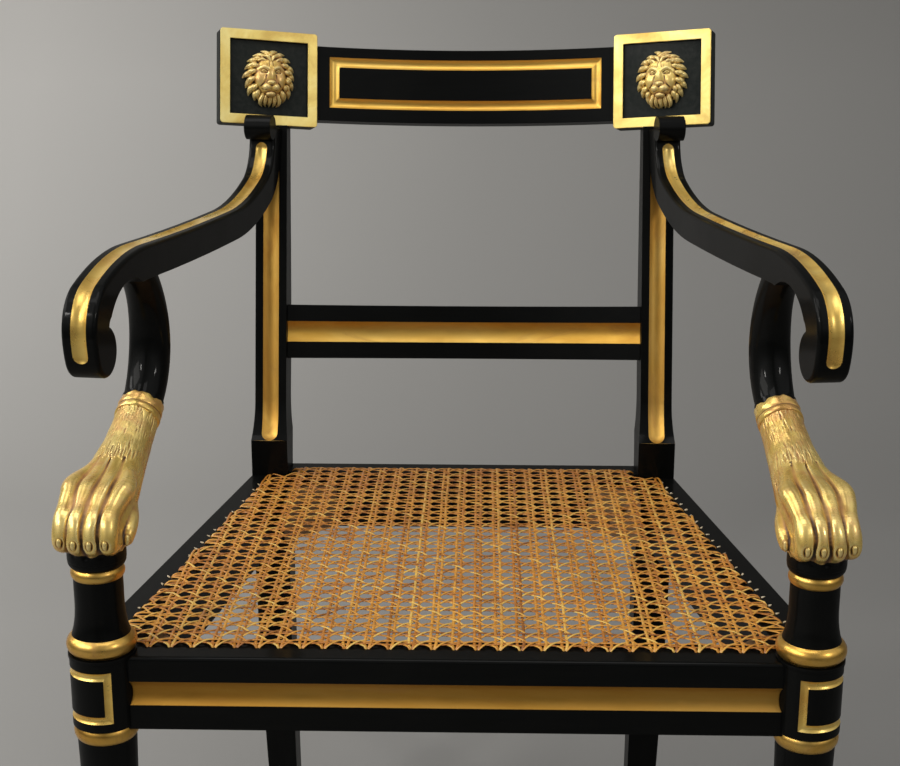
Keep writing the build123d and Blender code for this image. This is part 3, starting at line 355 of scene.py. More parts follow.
# Give a solid its material, and a second one to the faces that the rule picks
def paint(node, base, second=None, rule=None):
    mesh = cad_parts[node].data
    count = len(mesh.polygons)
    mesh.materials.clear()
    mesh.materials.append(base)
    index = np.zeros(count, np.int32)
    if second is not None:
        mesh.materials.append(second)
        centre, normal = np.zeros(count * 3), np.zeros(count * 3)
        mesh.polygons.foreach_get("center", centre)
        mesh.polygons.foreach_get("normal", normal)
        index[rule(centre.reshape(-1, 3) / MM, normal.reshape(-1, 3))] = 1
    mesh.polygons.foreach_set("material_index", index)
    mesh.update()


# Turned legs: gilt on the rings
def leg_rings(centre, normal):
    z = centre[:, 2]
    hit = np.zeros(len(z), bool)
    for middle, half in ((foot_ring_z, foot_ring_half), (low_ring_z, low_ring_half),
                         (big_ring_z, big_ring_half), (small_ring_z, small_ring_half)):
        hit |= np.abs(z - middle) < half - 0.01
    return hit


for side in SIDES:
    paint(f"front_leg_{side}", BLACK_POST, GOLD_RING, leg_rings)


# Seat rails
def rail_flute(centre, normal):
    depth = centre[:, 1] - rail_face_y
    level = np.abs(centre[:, 2] - rail_flute_z) < rail_flute_half + 0.01
    return (depth > 0.02) & (depth < rail_flute_depth) & level & (normal[:, 1] < -0.3)


paint("front_seat_rail", BLACK_RAIL, GOLD_FRONT_PAINTED_SHADE, rail_flute)
paint("back_seat_rail", BLACK_RAIL)
for side in SIDES:
    paint(f"side_seat_rail_{side}", BLACK_SIDE)
    for end in ("front", "back"):
        paint(f"corner_block_{end}_{side}", WOOD)
for node in ("tablet_dowels", "paw_dowels", "stem_dowels"):
    paint(node, WOOD)
for node in ("arm_screws", "corner_screws"):
    paint(node, STEEL)
paint("screw_plugs", BLACK)


# Bowed back: distance behind the bowed front face, and height along the rake
def bow_place(points):
    local = points - back_base
    height = local @ back_up
    depth = np.sqrt(local[:, 0] ** 2 + (local @ back_out + bow_radius) ** 2) - bow_radius
    return depth, height


def mid_flute(centre, normal):
    drop, half, deepest, reach = 1.3, 10.01, 3.6, 171.0
    depth, height = bow_place(centre)
    level = (np.abs(height + drop) < half) & (np.abs(centre[:, 0]) < reach)
    return (depth > 0.02) & (depth < deepest) & level


paint("mid_rail", BLACK_RAIL, GOLD_RAIL, mid_flute)
paint("crest_rail", BLACK_RAIL)

# Back legs: gilt in the hollow up the front of the post
flute_half = post_flute_width / 2
flute_bulge = (flute_half**2 + post_flute_depth**2) / (2 * post_flute_depth)
flute_lead = flute_bulge - post_flute_depth
post_line = np.array([post_x, leg_y + seat_run + post_setback, seat_z + post_block_rise + scoop_rise])
flute_foot = post_line - back_out * flute_lead
scoop_chord = np.array([0.0, -post_setback, -scoop_rise])
scoop_radius = (scoop_chord @ scoop_chord) / (-2 * (scoop_chord @ back_out))
scoop_centre = post_line - back_out * scoop_radius
scoop_full = 2 * asin(np.linalg.norm(scoop_chord) / (2 * scoop_radius))
scoop_turn = scoop_full - (flute_half + 0.8) / scoop_radius


def post_flute(centre, normal):
    points = centre.copy()
    points[:, 0] = np.abs(points[:, 0])
    local = points - flute_foot
    along = local @ back_up
    across = np.linalg.norm(local - np.outer(along, back_up), axis=1)
    hit = (np.abs(across - flute_bulge) < 0.25) & (along > -0.1) & (along < post_flute_top + 0.5)
    # The lower end runs round the scoop and stops in a ball
    spoke = points - scoop_centre
    ring = scoop_radius - flute_lead
    reach = np.hypot(spoke[:, 1], spoke[:, 2])
    turned = np.arctan2(-(spoke @ back_up), spoke @ back_out)
    tube = np.hypot(points[:, 0] - post_x, reach - ring)
    hit |= (np.abs(tube - flute_bulge) < 0.3) & (turned > -0.01) & (turned < scoop_turn)
    stop = scoop_centre + (back_out * cos(scoop_turn) - back_up * sin(scoop_turn)) * ring
    ball = np.linalg.norm(points - stop, axis=1)
    hit |= (np.abs(ball - flute_bulge) < 0.3) & (turned >= scoop_turn - 0.01) & (along < 0)
    return hit & (np.abs(points[:, 0] - post_x) < flute_half + 0.1)


for side in SIDES:
    paint(f"back_leg_{side}", BLACK_POST, GOLD_POST, post_flute)

# Tablets: gilt on the front of the border only
tablet_turn = radians(21.2)
tablet_across = np.array([cos(tablet_turn), 0, 0]) - back_out * sin(tablet_turn)
tablet_normal = np.cross(tablet_across, back_up)
tablet_x, tablet_lead, tablet_low, tablet_half = 188.0, 42.0, 196.9, 45.0
tablet_field_sink = 3.0
tablet_centre = back_base - back_out * tablet_lead + back_up * (tablet_low + tablet_half)
tablet_centre[0] = tablet_x


def border_front(centre, normal):
    facing = normal * np.where(centre[:, :1] < 0, MIRROR, 1.0)
    return facing @ tablet_normal > 0.9


for side in SIDES:
    paint(f"tablet_{side}", BLACK_FIELD_PAINTED_SHEEN)
    paint(f"tablet_border_{side}", BLACK_DULL, GOLD_FRAME, border_front)

# Line along the top of the arm, as tangent arcs of a radius and a turn in degrees
arm_arcs = ((42.0, -63.0), (320.0, -19.0), (5500.0, -2.3), (240.0, 22.0), (34.0, 72.0), (62.0, 18.0))
arm_line = []
arm_turned = []
turned_so_far = 0.0
spot = np.array([457.5, 318.0])
heading = radians(261.5)
for radius, turn in arm_arcs:
    side_turn = 1 if turn > 0 else -1
    left = np.array([-sin(heading), cos(heading)]) * side_turn
    centre = spot + left * radius
    steps = max(8, int(radius * radians(abs(turn)) / 1.5))
    for k in range(steps + 1):
        a = heading + radians(turn) * k / steps
        here = centre - np.array([-sin(a), cos(a)]) * side_turn * radius
        arm_line.append((here[0], here[1], a))
        arm_turned.append(turned_so_far + abs(turn) * k / steps)
    spot = here
    heading += radians(turn)
    turned_so_far += abs(turn)
arm_line = np.array(arm_line)
flute_start, flute_stop = 12.0, turned_so_far - 6.0
flute_first = next(k for k, turned in enumerate(arm_turned) if turned >= flute_start)
flute_last = next(k for k, turned in enumerate(arm_turned) if turned >= flute_stop)
arm_flute_half, arm_flute_ball = 5.42, 6.2


def arm_flute(centre, normal):
    flip = np.where(centre[:, :1] < 0, MIRROR, 1.0)
    local = centre * flip - arm_origin
    facing = normal * flip
    s, t, z = local @ arm_along, local @ arm_out, local[:, 2]
    lean = facing @ arm_along
    hit = np.zeros(len(s), bool)
    for k in np.where(np.abs(t) < arm_flute_half)[0]:
        gap = (arm_line[:, 0] - s[k]) ** 2 + (arm_line[:, 1] - z[k]) ** 2
        best = int(np.argmin(gap))
        a = arm_line[best, 2]
        depth = (s[k] - arm_line[best, 0]) * -sin(a) + (z[k] - arm_line[best, 1]) * cos(a)
        outward = lean[k] * sin(a) - facing[k, 2] * cos(a)
        if flute_first <= best <= flute_last:
            hit[k] = outward > 0.4 and depth < 6.0
        else:
            end = arm_line[flute_first if best < flute_first else flute_last]
            close = np.hypot(s[k] - end[0], z[k] - end[1]) < arm_flute_ball
            hit[k] = close and depth > 0.12 and outward > 0.3
    return hit


for side in SIDES:
    paint(f"arm_{side}", BLACK_SIDE, GOLD, arm_flute)
    paint(f"arm_stem_{side}", BLACK)


# Gilt hollow in the strip of a sunk rectangle, laid on a curved face by the given rule
def strip_lines(length, strip, edge_steps, middle_steps):
    return np.concatenate([
        np.linspace(0, strip, edge_steps),
        np.linspace(strip, length - strip, middle_steps)[1:],
        np.linspace(length - strip, length, edge_steps)[1:],
    ])


def sunk_strip(size, strip, deep, steps, lay):
    wide, tall = size
    edge_steps, wide_steps, tall_steps = steps
    across = strip_lines(wide, strip, edge_steps, wide_steps)
    rise = strip_lines(tall, strip, edge_steps, tall_steps)
    n = len(across)
    clear = 0.03

    def margin(u, v):
        return min(u, wide - u, v, tall - v)

    points = []
    for v in rise:
        for u in across:
            d = margin(u, v)
            depth = deep * (1 - (2 * d / strip - 1) ** 2) if d < strip else 0.0
            points.append(lay(u, v, depth + clear))
    faces = []
    for i in range(len(rise) - 1):
        for j in range(n - 1):
            if margin((across[j] + across[j + 1]) / 2, (rise[i] + rise[i + 1]) / 2) < strip:
                a = i * n + j
                faces.append((a, a + 1, a + n + 1, a + n))
    return np.array(points), faces


crest_half, crest_low, crest_high = 132.3, 217.5, 266.5
block_low = low_ring_z + low_ring_half + 6.5
block_high = seat_z - block_step - 6.5
block_start, block_arc = radians(-116.5), radians(140.5)


def on_crest(u, v, depth):
    a = asin((u - crest_half) / bow_radius)
    r = bow_radius + depth
    return back_base + (r * sin(a), 0, 0) + back_out * (r * cos(a) - bow_radius) + back_up * (crest_low + v)


def on_block(u, v, depth):
    a = block_start + u / block_radius
    r = block_radius - depth
    return leg_x + r * cos(a), leg_y + r * sin(a), block_low + v


crest_size = (2 * crest_half, crest_high - crest_low)
points, faces = sunk_strip(crest_size, 9.5, 2.5, (11, 61, 9), on_crest)
obj = new_piece("crest_gilt_hollow", points, faces, [GOLD_CREST])
block_size = (block_arc * block_radius, block_high - block_low)
points, faces = sunk_strip(block_size, 5.6, 1.5, (9, 41, 11), on_block)
gilt_pair("block_gilt_hollow", points, faces, GOLD)


# A line of points with radii, made smooth by cutting each span into fine steps
def flowing(line, fine):
    if fine < 2 or len(line) < 3:
        return line
    ends = np.vstack([2 * line[0] - line[1], line, 2 * line[-1] - line[-2]])
    out = []
    for k in range(len(line) - 1):
        p, q, r, s = ends[k:k + 4]
        for t in np.arange(fine) / fine:
            bend = (2 * p - 5 * q + 4 * r - s) * t**2 + (3 * q - p - 3 * r + s) * t**3
            out.append(q + 0.5 * ((r - p) * t + bend))
    return np.array(out + [line[-1]])


# Carving: a field of distances to rounded strokes and lumps, which is turned into a surface
class Field:
    far = 8.0

    def __init__(self, low, high, voxel):
        self.low = np.array(low, float)
        self.voxel = voxel
        self.shape = tuple(int(v) for v in np.ceil((np.array(high) - self.low) / voxel) + 1)
        self.value = np.full(self.shape, self.far, np.float32)

    def window(self, low, high):
        a = np.clip(np.floor((low - self.low) / self.voxel).astype(int), 0, np.array(self.shape) - 1)
        b = np.clip(np.ceil((high - self.low) / self.voxel).astype(int) + 1, 1, np.array(self.shape))
        cut = tuple(slice(i, j) for i, j in zip(a, b))
        axes = [self.low[k] + self.voxel * np.arange(a[k], b[k]) for k in range(3)]
        return cut, np.meshgrid(*axes, indexing="ij")

    # Add a form or cut it out, with a soft blend where it meets the rest
    def merge(self, cut, dist, blend, cut_out):
        sign = -1 if cut_out else 1
        old = self.value[cut] * sign
        h = np.clip(0.5 + 0.5 * (old - dist) / blend, 0, 1)
        self.value[cut] = sign * (old * (1 - h) + dist * h - blend * h * (1 - h))

    def stroke(self, points, blend, cut_out=False, fine=3):
        line = flowing(np.array(points, float), fine)
        reach = line[:, 3].max() + 3 * blend + 1.0
        cut, grid = self.window(line[:, :3].min(0) - reach, line[:, :3].max(0) + reach)
        dist = np.full(grid[0].shape, self.far, np.float32)
        first = np.array([axis.flat[0] for axis in grid])
        for a, b in zip(line[:-1], line[1:]):
            near = max(a[3], b[3]) + 3 * blend + 1.0
            low = np.floor((np.minimum(a, b)[:3] - near - first) / self.voxel).astype(int).clip(0)
            high = np.ceil((np.maximum(a, b)[:3] + near - first) / self.voxel).astype(int) + 1
            part = tuple(slice(i, j) for i, j in zip(low, high))
            x, y, z = (axis[part] - start for axis, start in zip(grid, a))
            d = b[:3] - a[:3]
            length = max(float(d @ d), 1e-9)
            t = np.clip((x * d[0] + y * d[1] + z * d[2]) / length, 0, 1)
            gap = np.sqrt((x - t * d[0]) ** 2 + (y - t * d[1]) ** 2 + (z - t * d[2]) ** 2)
            dist[part] = np.minimum(dist[part], gap - (a[3] + t * (b[3] - a[3])))
        self.merge(cut, dist, blend, cut_out)

    def lump(self, centre, radii, blend=1.0, cut_out=False):
        centre, radii = np.array(centre, float), np.array(radii, float)
        reach = radii.max() + 3 * blend + 1.0
        cut, grid = self.window(centre - reach, centre + reach)
        local = [axis - c for axis, c in zip(grid, centre)]
        k0 = np.sqrt(sum((v / r) ** 2 for v, r in zip(local, radii)))
        k1 = np.sqrt(sum((v / r**2) ** 2 for v, r in zip(local, radii))) + 1e-9
        self.merge(cut, k0 * (k0 - 1) / k1, blend, cut_out)

    # Cut level across the bottom
    def flatten(self, level):
        height = self.low[2] + self.voxel * np.arange(self.shape[2])
        self.value = np.maximum(self.value, (level - height).astype(np.float32))

    # One point in each cell that the surface crosses, and a face round each crossed edge
    def surface(self):
        f = np.full_like(self.value, self.far)
        inner = (slice(1, -1),) * 3
        f[inner] = self.value[inner]
        inside = f < 0
        n = np.array(f.shape) - 1
        corner = {o: tuple(slice(a, a + b) for a, b in zip(o, n)) for o in np.ndindex(2, 2, 2)}
        full = sum(inside[part].astype(np.int8) for part in corner.values())
        active = (full > 0) & (full < 8)
        cells = np.argwhere(active)
        index = np.full(tuple(n), -1)
        index[active] = np.arange(len(cells))
        total = np.zeros((len(cells), 3))
        count = np.zeros(len(cells))
        for o in corner:
            for k in range(3):
                if o[k]:
                    continue
                e = list(o)
                e[k] = 1
                fa = f[corner[o]][active]
                fb = f[corner[tuple(e)]][active]
                cross = (fa < 0) != (fb < 0)
                t = np.where(cross, fa / np.where(cross, fa - fb, 1.0), 0.0)
                place = np.array(o, float) + np.outer(t, np.eye(3)[k])
                total[cross] += place[cross]
                count[cross] += 1
        points = self.low + self.voxel * (cells + total / count[:, None])
        faces = []
        for k in range(3):
            u, v = (k + 1) % 3, (k + 2) % 3
            spots = np.argwhere(np.diff(inside, axis=k))
            quad = []
            for du, dv in ((-1, -1), (0, -1), (0, 0), (-1, 0)):
                c = spots.copy()
                c[:, u] += du
                c[:, v] += dv
                quad.append(index[tuple(c.T)])
            quad = np.stack(quad, 1)
            out = inside[tuple(spots.T)]
            faces.append(np.where(out[:, None], quad, quad[:, ::-1]))
        return points, np.concatenate(faces)


# Each point drawn towards the mean of its neighbours
def relax(points, faces, rounds, weight=0.5):
    a = faces.ravel()
    b = np.roll(faces, 1, axis=1).ravel()
    count = np.bincount(a, minlength=len(points)) + np.bincount(b, minlength=len(points))
    for _ in range(rounds):
        mean = np.zeros_like(points)
        for k in range(3):
            mean[:, k] = np.bincount(a, points[b, k], len(points))
            mean[:, k] += np.bincount(b, points[a, k], len(points))
        points = points + (mean / count[:, None] - points) * weight
    return points


# How hollow the surface is at each point: 0 on ridges, 1 in grooves
def hollows(points, faces, spread):
    p = points[faces]
    face_normal = np.cross(p[:, 2] - p[:, 0], p[:, 3] - p[:, 1])
    normal = np.zeros_like(points)
    for k in range(3):
        for m in range(4):
            normal[:, k] += np.bincount(faces[:, m], face_normal[:, k], len(points))
    normal = unit(normal)
    near = ((relax(points, faces, 6) - points) * normal).sum(1)
    far = ((relax(points, faces, 40) - points) * normal).sum(1)
    return np.clip(0.5 + (near * 1.6 + far * 0.7) / spread, 0, 1)


# Animal mask in its own frame: across, up, and out from the sunk field
def carve_mask(seed):
    local = np.random.default_rng(seed)
    f = Field((-29, -31, -1.2), (29, 30, 19), 0.36)

    def sided(m, *points):
        return [(x * m, y, z, r) for x, y, z, r in points]

    f.lump((0, 0, -3.0), (22.5, 24.5, 10.0), 1.0)
    # Mane: rings of leaf locks that part at the top and sweep down the sides
    rings = (
        (25.4, 27.4, 19, 0.5, 3.0, 0.68),
        (22.8, 24.8, 18, 2.7, 2.6, 0.70),
        (19.6, 21.6, 16, 4.6, 2.1, 0.77),
    )
    for ring, (wide, tall, count, lift, thick, inner) in enumerate(rings):
        for k in range(count):
            a = pi / 2 + 2 * pi * (k + 0.5 + 0.5 * (ring % 2)) / count + local.uniform(-0.05, 0.05)
            if ring == 2 and sin(a) < -0.75:
                continue
            side = 1.0 if cos(a) > 0 else -1.0
            sweep = -side * (0.20 + 0.16 * max(0.0, sin(a))) + local.uniform(-0.05, 0.05)
            tip = local.uniform(0.97, 1.04)
            stroke = []
            for step in range(7):
                g = step / 6
                r = inner + (tip - inner) * g
                turn = a + sweep * (g * g - 0.35)
                bulge = lift + 2.6 * sin(pi * min(1, g * 0.85 + 0.15)) - 1.4 * g * g
                size = thick * (0.7 + 0.4 * sin(pi * g)) * (1 - 0.86 * g**2.4)
                stroke.append((wide * r * cos(turn), tall * r * sin(turn), bulge, size))
            f.stroke(stroke, 0.6, fine=2)
            groove = [(x + 0.5 * y / 25, y - 0.5 * x / 25, z + s, 0.2) for x, y, z, s in stroke[1:6]]
            f.stroke(groove, 0.4, True, fine=2)
    # Face
    f.lump((0, 0.6, 5.2), (15.2, 18.0, 7.0), 1.4)
    f.lump((0, 11.0, 7.4), (10.4, 6.4, 4.6), 2.2)
    f.lump((0, -9.0, 8.4), (7.0, 7.0, 5.0), 2.0)
    for m in (-1, 1):
        f.lump((8.6 * m, -3.0, 7.8), (5.6, 7.0, 4.2), 2.4)
        f.stroke(sided(m, (11.6, 6.6, 7.6, 1.4), (7.2, 8.8, 10.3, 2.0), (3.2, 7.6, 11.6, 2.0)), 1.5)
    f.lump((0, 2.0, 9.6), (5.0, 10.6, 4.5), 1.8)
    f.lump((0, -6.0, 13.0), (4.1, 2.4, 2.7), 0.9)
    for m in (-1, 1):
        f.lump((7.0 * m, 4.4, 12.2), (3.7, 1.9, 3.3), 0.8, cut_out=True)
        f.lump((6.9 * m, 4.2, 9.5), (2.7, 1.5, 1.7), 0.3)
        f.stroke(sided(m, (10.2, 4.2, 8.8, 0.6), (7.0, 5.9, 10.9, 0.8), (3.8, 4.0, 10.9, 0.6)), 0.3)
        f.stroke(sided(m, (9.8, 3.2, 8.8, 0.5), (7.0, 2.4, 10.4, 0.65), (4.0, 3.2, 10.6, 0.5)), 0.4)
        f.stroke(sided(m, (9.4, 3.9, 10.0, 0.3), (6.9, 4.0, 11.4, 0.35), (4.4, 3.7, 11.2, 0.3)), 0.25, True)
        f.lump((4.0 * m, -10.2, 10.6), (4.4, 3.8, 4.2), 1.3)
        f.stroke(sided(m, (4.9, 0.8, 12.4, 0.35), (6.2, -4.8, 12.6, 0.5), (10.0, -9.6, 9.8, 0.5)), 1.1, True)
        f.stroke(sided(m, (0.2, -13.6, 14.0, 0.6), (4.0, -13.9, 12.8, 0.75), (7.8, -12.2, 9.4, 0.7)),
                 0.5, True)
        f.stroke(sided(m, (1.4, -7.2, 15.4, 0.45), (3.2, -6.6, 14.7, 0.45)), 0.3, True)
        f.stroke(sided(m, (1.2, 15.0, 11.2, 0.25), (2.2, 10.0, 12.9, 0.4)), 0.7, True)
    f.stroke([(0, -8.8, 15.4, 0.4), (0, -13.8, 14.6, 0.5)], 0.5, True)
    f.lump((0, -16.4, 8.9), (4.6, 2.7, 4.2), 1.0)
    # Forelock and beard
    for m in (-1, 1):
        f.stroke(sided(m, (1.0, 15.6, 10.0, 1.4), (2.8, 19.0, 9.2, 1.7), (6.6, 20.0, 7.8, 0.8)), 0.4)
        f.stroke(sided(m, (5.2, 14.8, 9.6, 1.1), (8.0, 16.6, 8.4, 1.4), (11.6, 15.4, 6.8, 0.7)), 0.4)
    for x in (-7.6, -3.8, 0.0, 3.8, 7.6):
        curl = [(x, -18.6, 6.6, 1.7), (x * 1.22, -22.2, 5.4, 2.0), (x * 1.16, -25.4, 3.0, 1.4),
                (x * 0.9, -27.4, 0.9, 0.5)]
        f.stroke(curl, 0.5)
        f.stroke([(px, py, pz + pr * 0.97, 0.24) for px, py, pz, pr in curl], 0.4, True)
    f.flatten(-0.4)
    points, faces = f.surface()
    points = relax(points, faces, 1, 0.35)
    return points, faces, hollows(points, faces, 0.62)


def place_mask(side, seed):
    points, faces, cavity = carve_mask(seed)
    across, normal, middle = tablet_across, tablet_normal, tablet_centre
    if side == "left":
        points = points * MIRROR
        faces = faces[:, ::-1]
        across, normal, middle = across * -MIRROR, normal * MIRROR, middle * MIRROR
    origin = middle - normal * tablet_field_sink
    world = origin + points @ np.array([across, back_up, normal])
    obj = new_piece(f"carved_mask_{side}", world, faces.tolist(), [GOLD_MASK], attributes={"cavity": cavity})
    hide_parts(f"lion_mask_{side}")


for side, seed in zip(SIDES, (3, 11)):
    place_mask(side, seed)


# Carved paw, in the arm's upright plane: along, outward, and up from the seat
stem_bend = 67.0
stem_heading = radians(33.0)
foot_s, foot_z = 96.95, 148.5
bend_s = foot_s - stem_bend * sin(stem_heading)
bend_z = foot_z + stem_bend * cos(stem_heading)
hem = 78.6
pad_radius = 20.5
pad_drop = 4.4


def carve_paw(seed):
    local = np.random.default_rng(seed)
    base = paw_z - seat_z
    f = Field((-36, -34, base - 7), (114, 34, 166), 0.5)
    # Ankle and the back of the paw
    f.stroke([(98.5, 0, 149.5, 15.4), (84, 0, 139.8, 15.5), (66, 0, 128.4, 16.0), (46, 0, 118.2, 16.8),
              (26, 0, 109.0, 17.4), (8, 0, 101.5, 17.6)], 2.5, fine=4)
    for m, slim in ((-1, 0.72), (1, 1.0)):
        w = m * slim
        f.stroke([(70, 1.2 * w, 130.0, 15.2), (46, 5.0 * w, 117.0, 15.6), (26, 8.8 * w, 106.5, 15.6),
                  (8, 11.0 * w, 98.0, 15.2), (-6, 11.0 * w, 93.0, 14.0)], 3.5, fine=4)
    f.lump((4, 0, 87), (24.0, 22.5, 12.0), 3.0)
    # Black pad that the toes hang over
    f.stroke([(0, 0, base - 9, pad_radius), (0, 0, 90, pad_radius)], 0.5)
    # Toes: a tendon, two knuckles and a tucked tip for each, in one flowing line
    toes = ((19.4, 16.6, 3.2), (6.9, 5.4, 0.0), (-5.8, -5.8, 0.4), (-17.6, -16.2, 2.8))
    for near, tip, back in toes:
        lean = local.uniform(-0.9, 0.9, 4)
        middle = (near + tip) / 2
        f.stroke([(54 + back, near * 0.42, 130.6, 3.0), (32 + back, near * 0.74, 122.6, 4.8),
                  (12 + back, near + lean[0], 117.4, 7.2), (2 + back, near + lean[1], 113.0, 6.9),
                  (-8 + back, middle + lean[2], 107.8, 6.1), (-16.4 + back, tip + lean[3], 102.2, 6.9),
                  (-20.6 + back, tip, 94.8, 7.1), (-21.2 + back, tip, 87.0, 6.9),
                  (-12 + back, tip, 85.0, 6.4)], 3.4, fine=5)
    gaps = [tuple((a + b) / 2 for a, b in zip(one, two)) for one, two in zip(toes[:-1], toes[1:])]
    for near, tip, back in gaps:
        f.stroke([(16 + back, near, 114.6, 6.2), (-8 + back, (near + tip) / 2, 105.2, 5.8),
                  (-17.2 + back, tip, 96.4, 5.6), (-17.4 + back, tip, 88.2, 5.0)], 2.2, fine=4)
    for near, tip, back in gaps:
        bend = local.uniform(-0.8, 0.8, 4)
        f.stroke([(38 + back, near * 0.76, 131.4, 0.4), (16 + back, near + bend[0], 124.6, 1.1),
                  (1 + back, near + bend[1], 118.9, 1.2), (-13.5 + back, tip + bend[2], 111.3, 1.2),
                  (-24.6 + back, tip + bend[3], 99.4, 1.2), (-25.4 + back, tip, 88.0, 1.4),
                  (-21.8 + back, tip, 77.5, 2.2)], 2.0, True, fine=4)
    for near, tip, back in toes:
        # Small claw under a hood
        f.lump((-28.2 + back, tip - 0.4, 88.4), (1.8, 2.9, 4.0), 1.0, cut_out=True)
        f.stroke([(-26.0 + back, tip, 92.0, 1.8), (-27.4 + back, tip, 90.0, 1.9),
                  (-27.8 + back, tip, 87.4, 1.5), (-26.8 + back, tip - 0.3, 85.0, 0.7)], 0.3)
        f.stroke([(-25.4 + back, tip - 3.4, 89.4, 0.9), (-26.2 + back, tip - 0.3, 93.6, 1.3),
                  (-25.8 + back, tip + 3.2, 90.2, 0.9)], 1.0)
    # Dew claw on the inner side
    f.stroke([(24, -18.0, 101.0, 4.6), (13, -21.6, 96.5, 5.4), (3, -23.2, 91.0, 5.6), (-2, -23.4, 86.0, 4.6)],
             1.4, fine=4)
    f.stroke([(-5.2, -25.0, 88.4, 1.7), (-6.4, -25.2, 85.2, 1.5), (-5.8, -24.8, 82.6, 0.7)], 0.3)
    f.stroke([(22, -25.6, 105.4, 0.6), (7, -26.4, 100.6, 1.9), (-7, -24.4, 96.0, 1.9)], 1.4, True, fine=4)
    # Fur in fine wavy lines from the collar down the ankle
    axis = np.array([(98.5, 149.5), (84, 139.8), (66, 128.4), (46, 118.2), (28, 110.0)])
    girth = np.array([(15.3, 15.3), (15.4, 15.4), (16.1, 16.6), (17.0, 20.0), (17.8, 23.2)])

    def skin(g, a, lift):
        k = min(int(g * 4), 3)
        m = g * 4 - k
        here = axis[k] * (1 - m) + axis[k + 1] * m
        d = axis[k + 1] - axis[k]
        n = np.array([d[1], -d[0]]) / np.linalg.norm(d)
        tall, wide = girth[k] * (1 - m) + girth[k + 1] * m + lift
        return here[0] + n[0] * tall * cos(a), wide * sin(a), here[1] + n[1] * tall * cos(a)

    hairs = 560
    for k in range(hairs):
        a = 2 * pi * ((k * 0.754878) % 1.0)
        slim = 0.0 if sin(a) > 0 else 2.0 * sin(a) ** 2
        reach = 0.66 + 0.12 * sin(a) ** 2 + 0.12 * max(0.0, -sin(a)) + 0.05 * sin(5 * a + 1)
        length = local.uniform(0.2, 0.36)
        start = (reach - 0.6 * length) * ((k * 0.569840) % 1.0)
        swing = local.uniform(-0.08, 0.08) + 0.07 * sin(2 * a + 9 * start)
        wave = local.uniform(0.015, 0.045)
        phase = local.uniform(0, 2 * pi)
        stroke = []
        for step in range(7):
            g = step / 6
            turn = a + swing * g + wave * sin(phase + 7.0 * g)
            size = (0.42 + 0.28 * sin(pi * min(1, g + 0.1))) * (1 - 0.35 * g)
            here = min(max(start + length * g, 0.0), 0.99)
            x, y, z = skin(here, turn, 0.02 + 0.3 * sin(pi * g) - slim * here**2)
            stroke.append((x, y, z, size))
        f.stroke(stroke, 0.22, fine=1)
    f.flatten(base - pad_drop)
    points, faces = f.surface()
    points = relax(points, faces, 1, 0.4)
    # The toes' ends are browner
    tips = 0.13 * np.clip((101.0 - points[:, 2]) / 14.0, 0, 1)
    return points, faces, np.clip(hollows(points, faces, 1.0) + tips, 0, 1)


def place_paw(side, seed):
    points, faces, cavity = carve_paw(seed)
    middle = points[faces].mean(1)
    wave = 0.8 * np.sin(middle[:, 1] * 0.45) + 0.5 * np.sin(middle[:, 0] * 0.7 + 1.0)
    pad = (middle[:, 2] < hem + wave) & (np.hypot(middle[:, 0], middle[:, 1]) < pad_radius + 0.9)
    world = arm_origin + points @ arm_frame
    if side == "left":
        world = world * MIRROR
    else:
        faces = faces[:, ::-1]
    obj = new_piece(f"carved_paw_{side}", world, faces.tolist(), [GOLD_CARVED, BLACK],
                    slots=pad.astype(np.int32), attributes={"cavity": cavity})
    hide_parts(f"paw_{side}")


for side, seed in zip(SIDES, (5, 9)):
    place_paw(side, seed)


# Gilt collar round the foot of each stem, with a torn upper rim and a fine line below its middle
def collars():
    rows = ((-9.0, 15.4), (-8.8, 16.2), (-8.2, 16.7), (-5.0, 16.8), (-2.6, 16.75), (-2.1, 16.3), (-1.7, 16.3),
            (-1.2, 16.65), (2.4, 16.75), (5.2, 16.55), (7.2, 16.35), (8.4, 16.0), (9.2, 15.5), (9.4, 14.8))
    around = 96
    points = []
    for height, radius in rows:
        for k in range(around):
            b = 2 * pi * k / around
            ragged = 0.3 * sin(3 * b)
            if height > 7:
                ragged = 0.7 * sin(4 * b + 1) + 0.5 * sin(9 * b) + 0.3 * sin(17 * b)
            angle = stem_heading - pi / 2 + (height + ragged) / stem_bend
            r = radius + 0.2 * sin(3 * b + 0.6 * height) + 0.14 * sin(8 * b - height)
            reach = stem_bend + r * cos(b)
            points.append((bend_s + reach * cos(angle), r * sin(b), bend_z + reach * sin(angle)))
    points = arm_origin + np.array(points) @ arm_frame
    groove = np.repeat([0.95 if -2.4 < height < -1.4 else 0.5 for height, _ in rows], around)
    faces = grid_faces(len(rows), around, closed=True)
    gilt_pair("collar", points, faces, GOLD_CARVED, {"cavity": groove})


collars()


# Woven cane: doubled strands both ways and single strands on both slants
pitch_x = 15.625
first_y = 6.0
rows_y = 27
pitch_y = 420.0 / rows_y
last_y = first_y + rows_y * pitch_y
weave_z = seat_z + 1.75
edge_x, edge_slope = 251.8, 0.1626
back_half, back_line = 167.0, 399.0
columns_x = 14
strand_step, strand_thick = 2.2, 0.85
long_gap, long_width = 2.25, 2.3
cross_gap, cross_width = 2.15, 2.2
slant_width = 2.0
pair_wave, slant_wave = 0.42, 0.62
strand_points = []
strand_faces = []
strand_tone = []
strand_rear_darkening = []
side_holes = [first_y + (i + 0.5) * pitch_y for i in range(rows_y - 1)]


def side_x(y):
    return edge_x - edge_slope * y


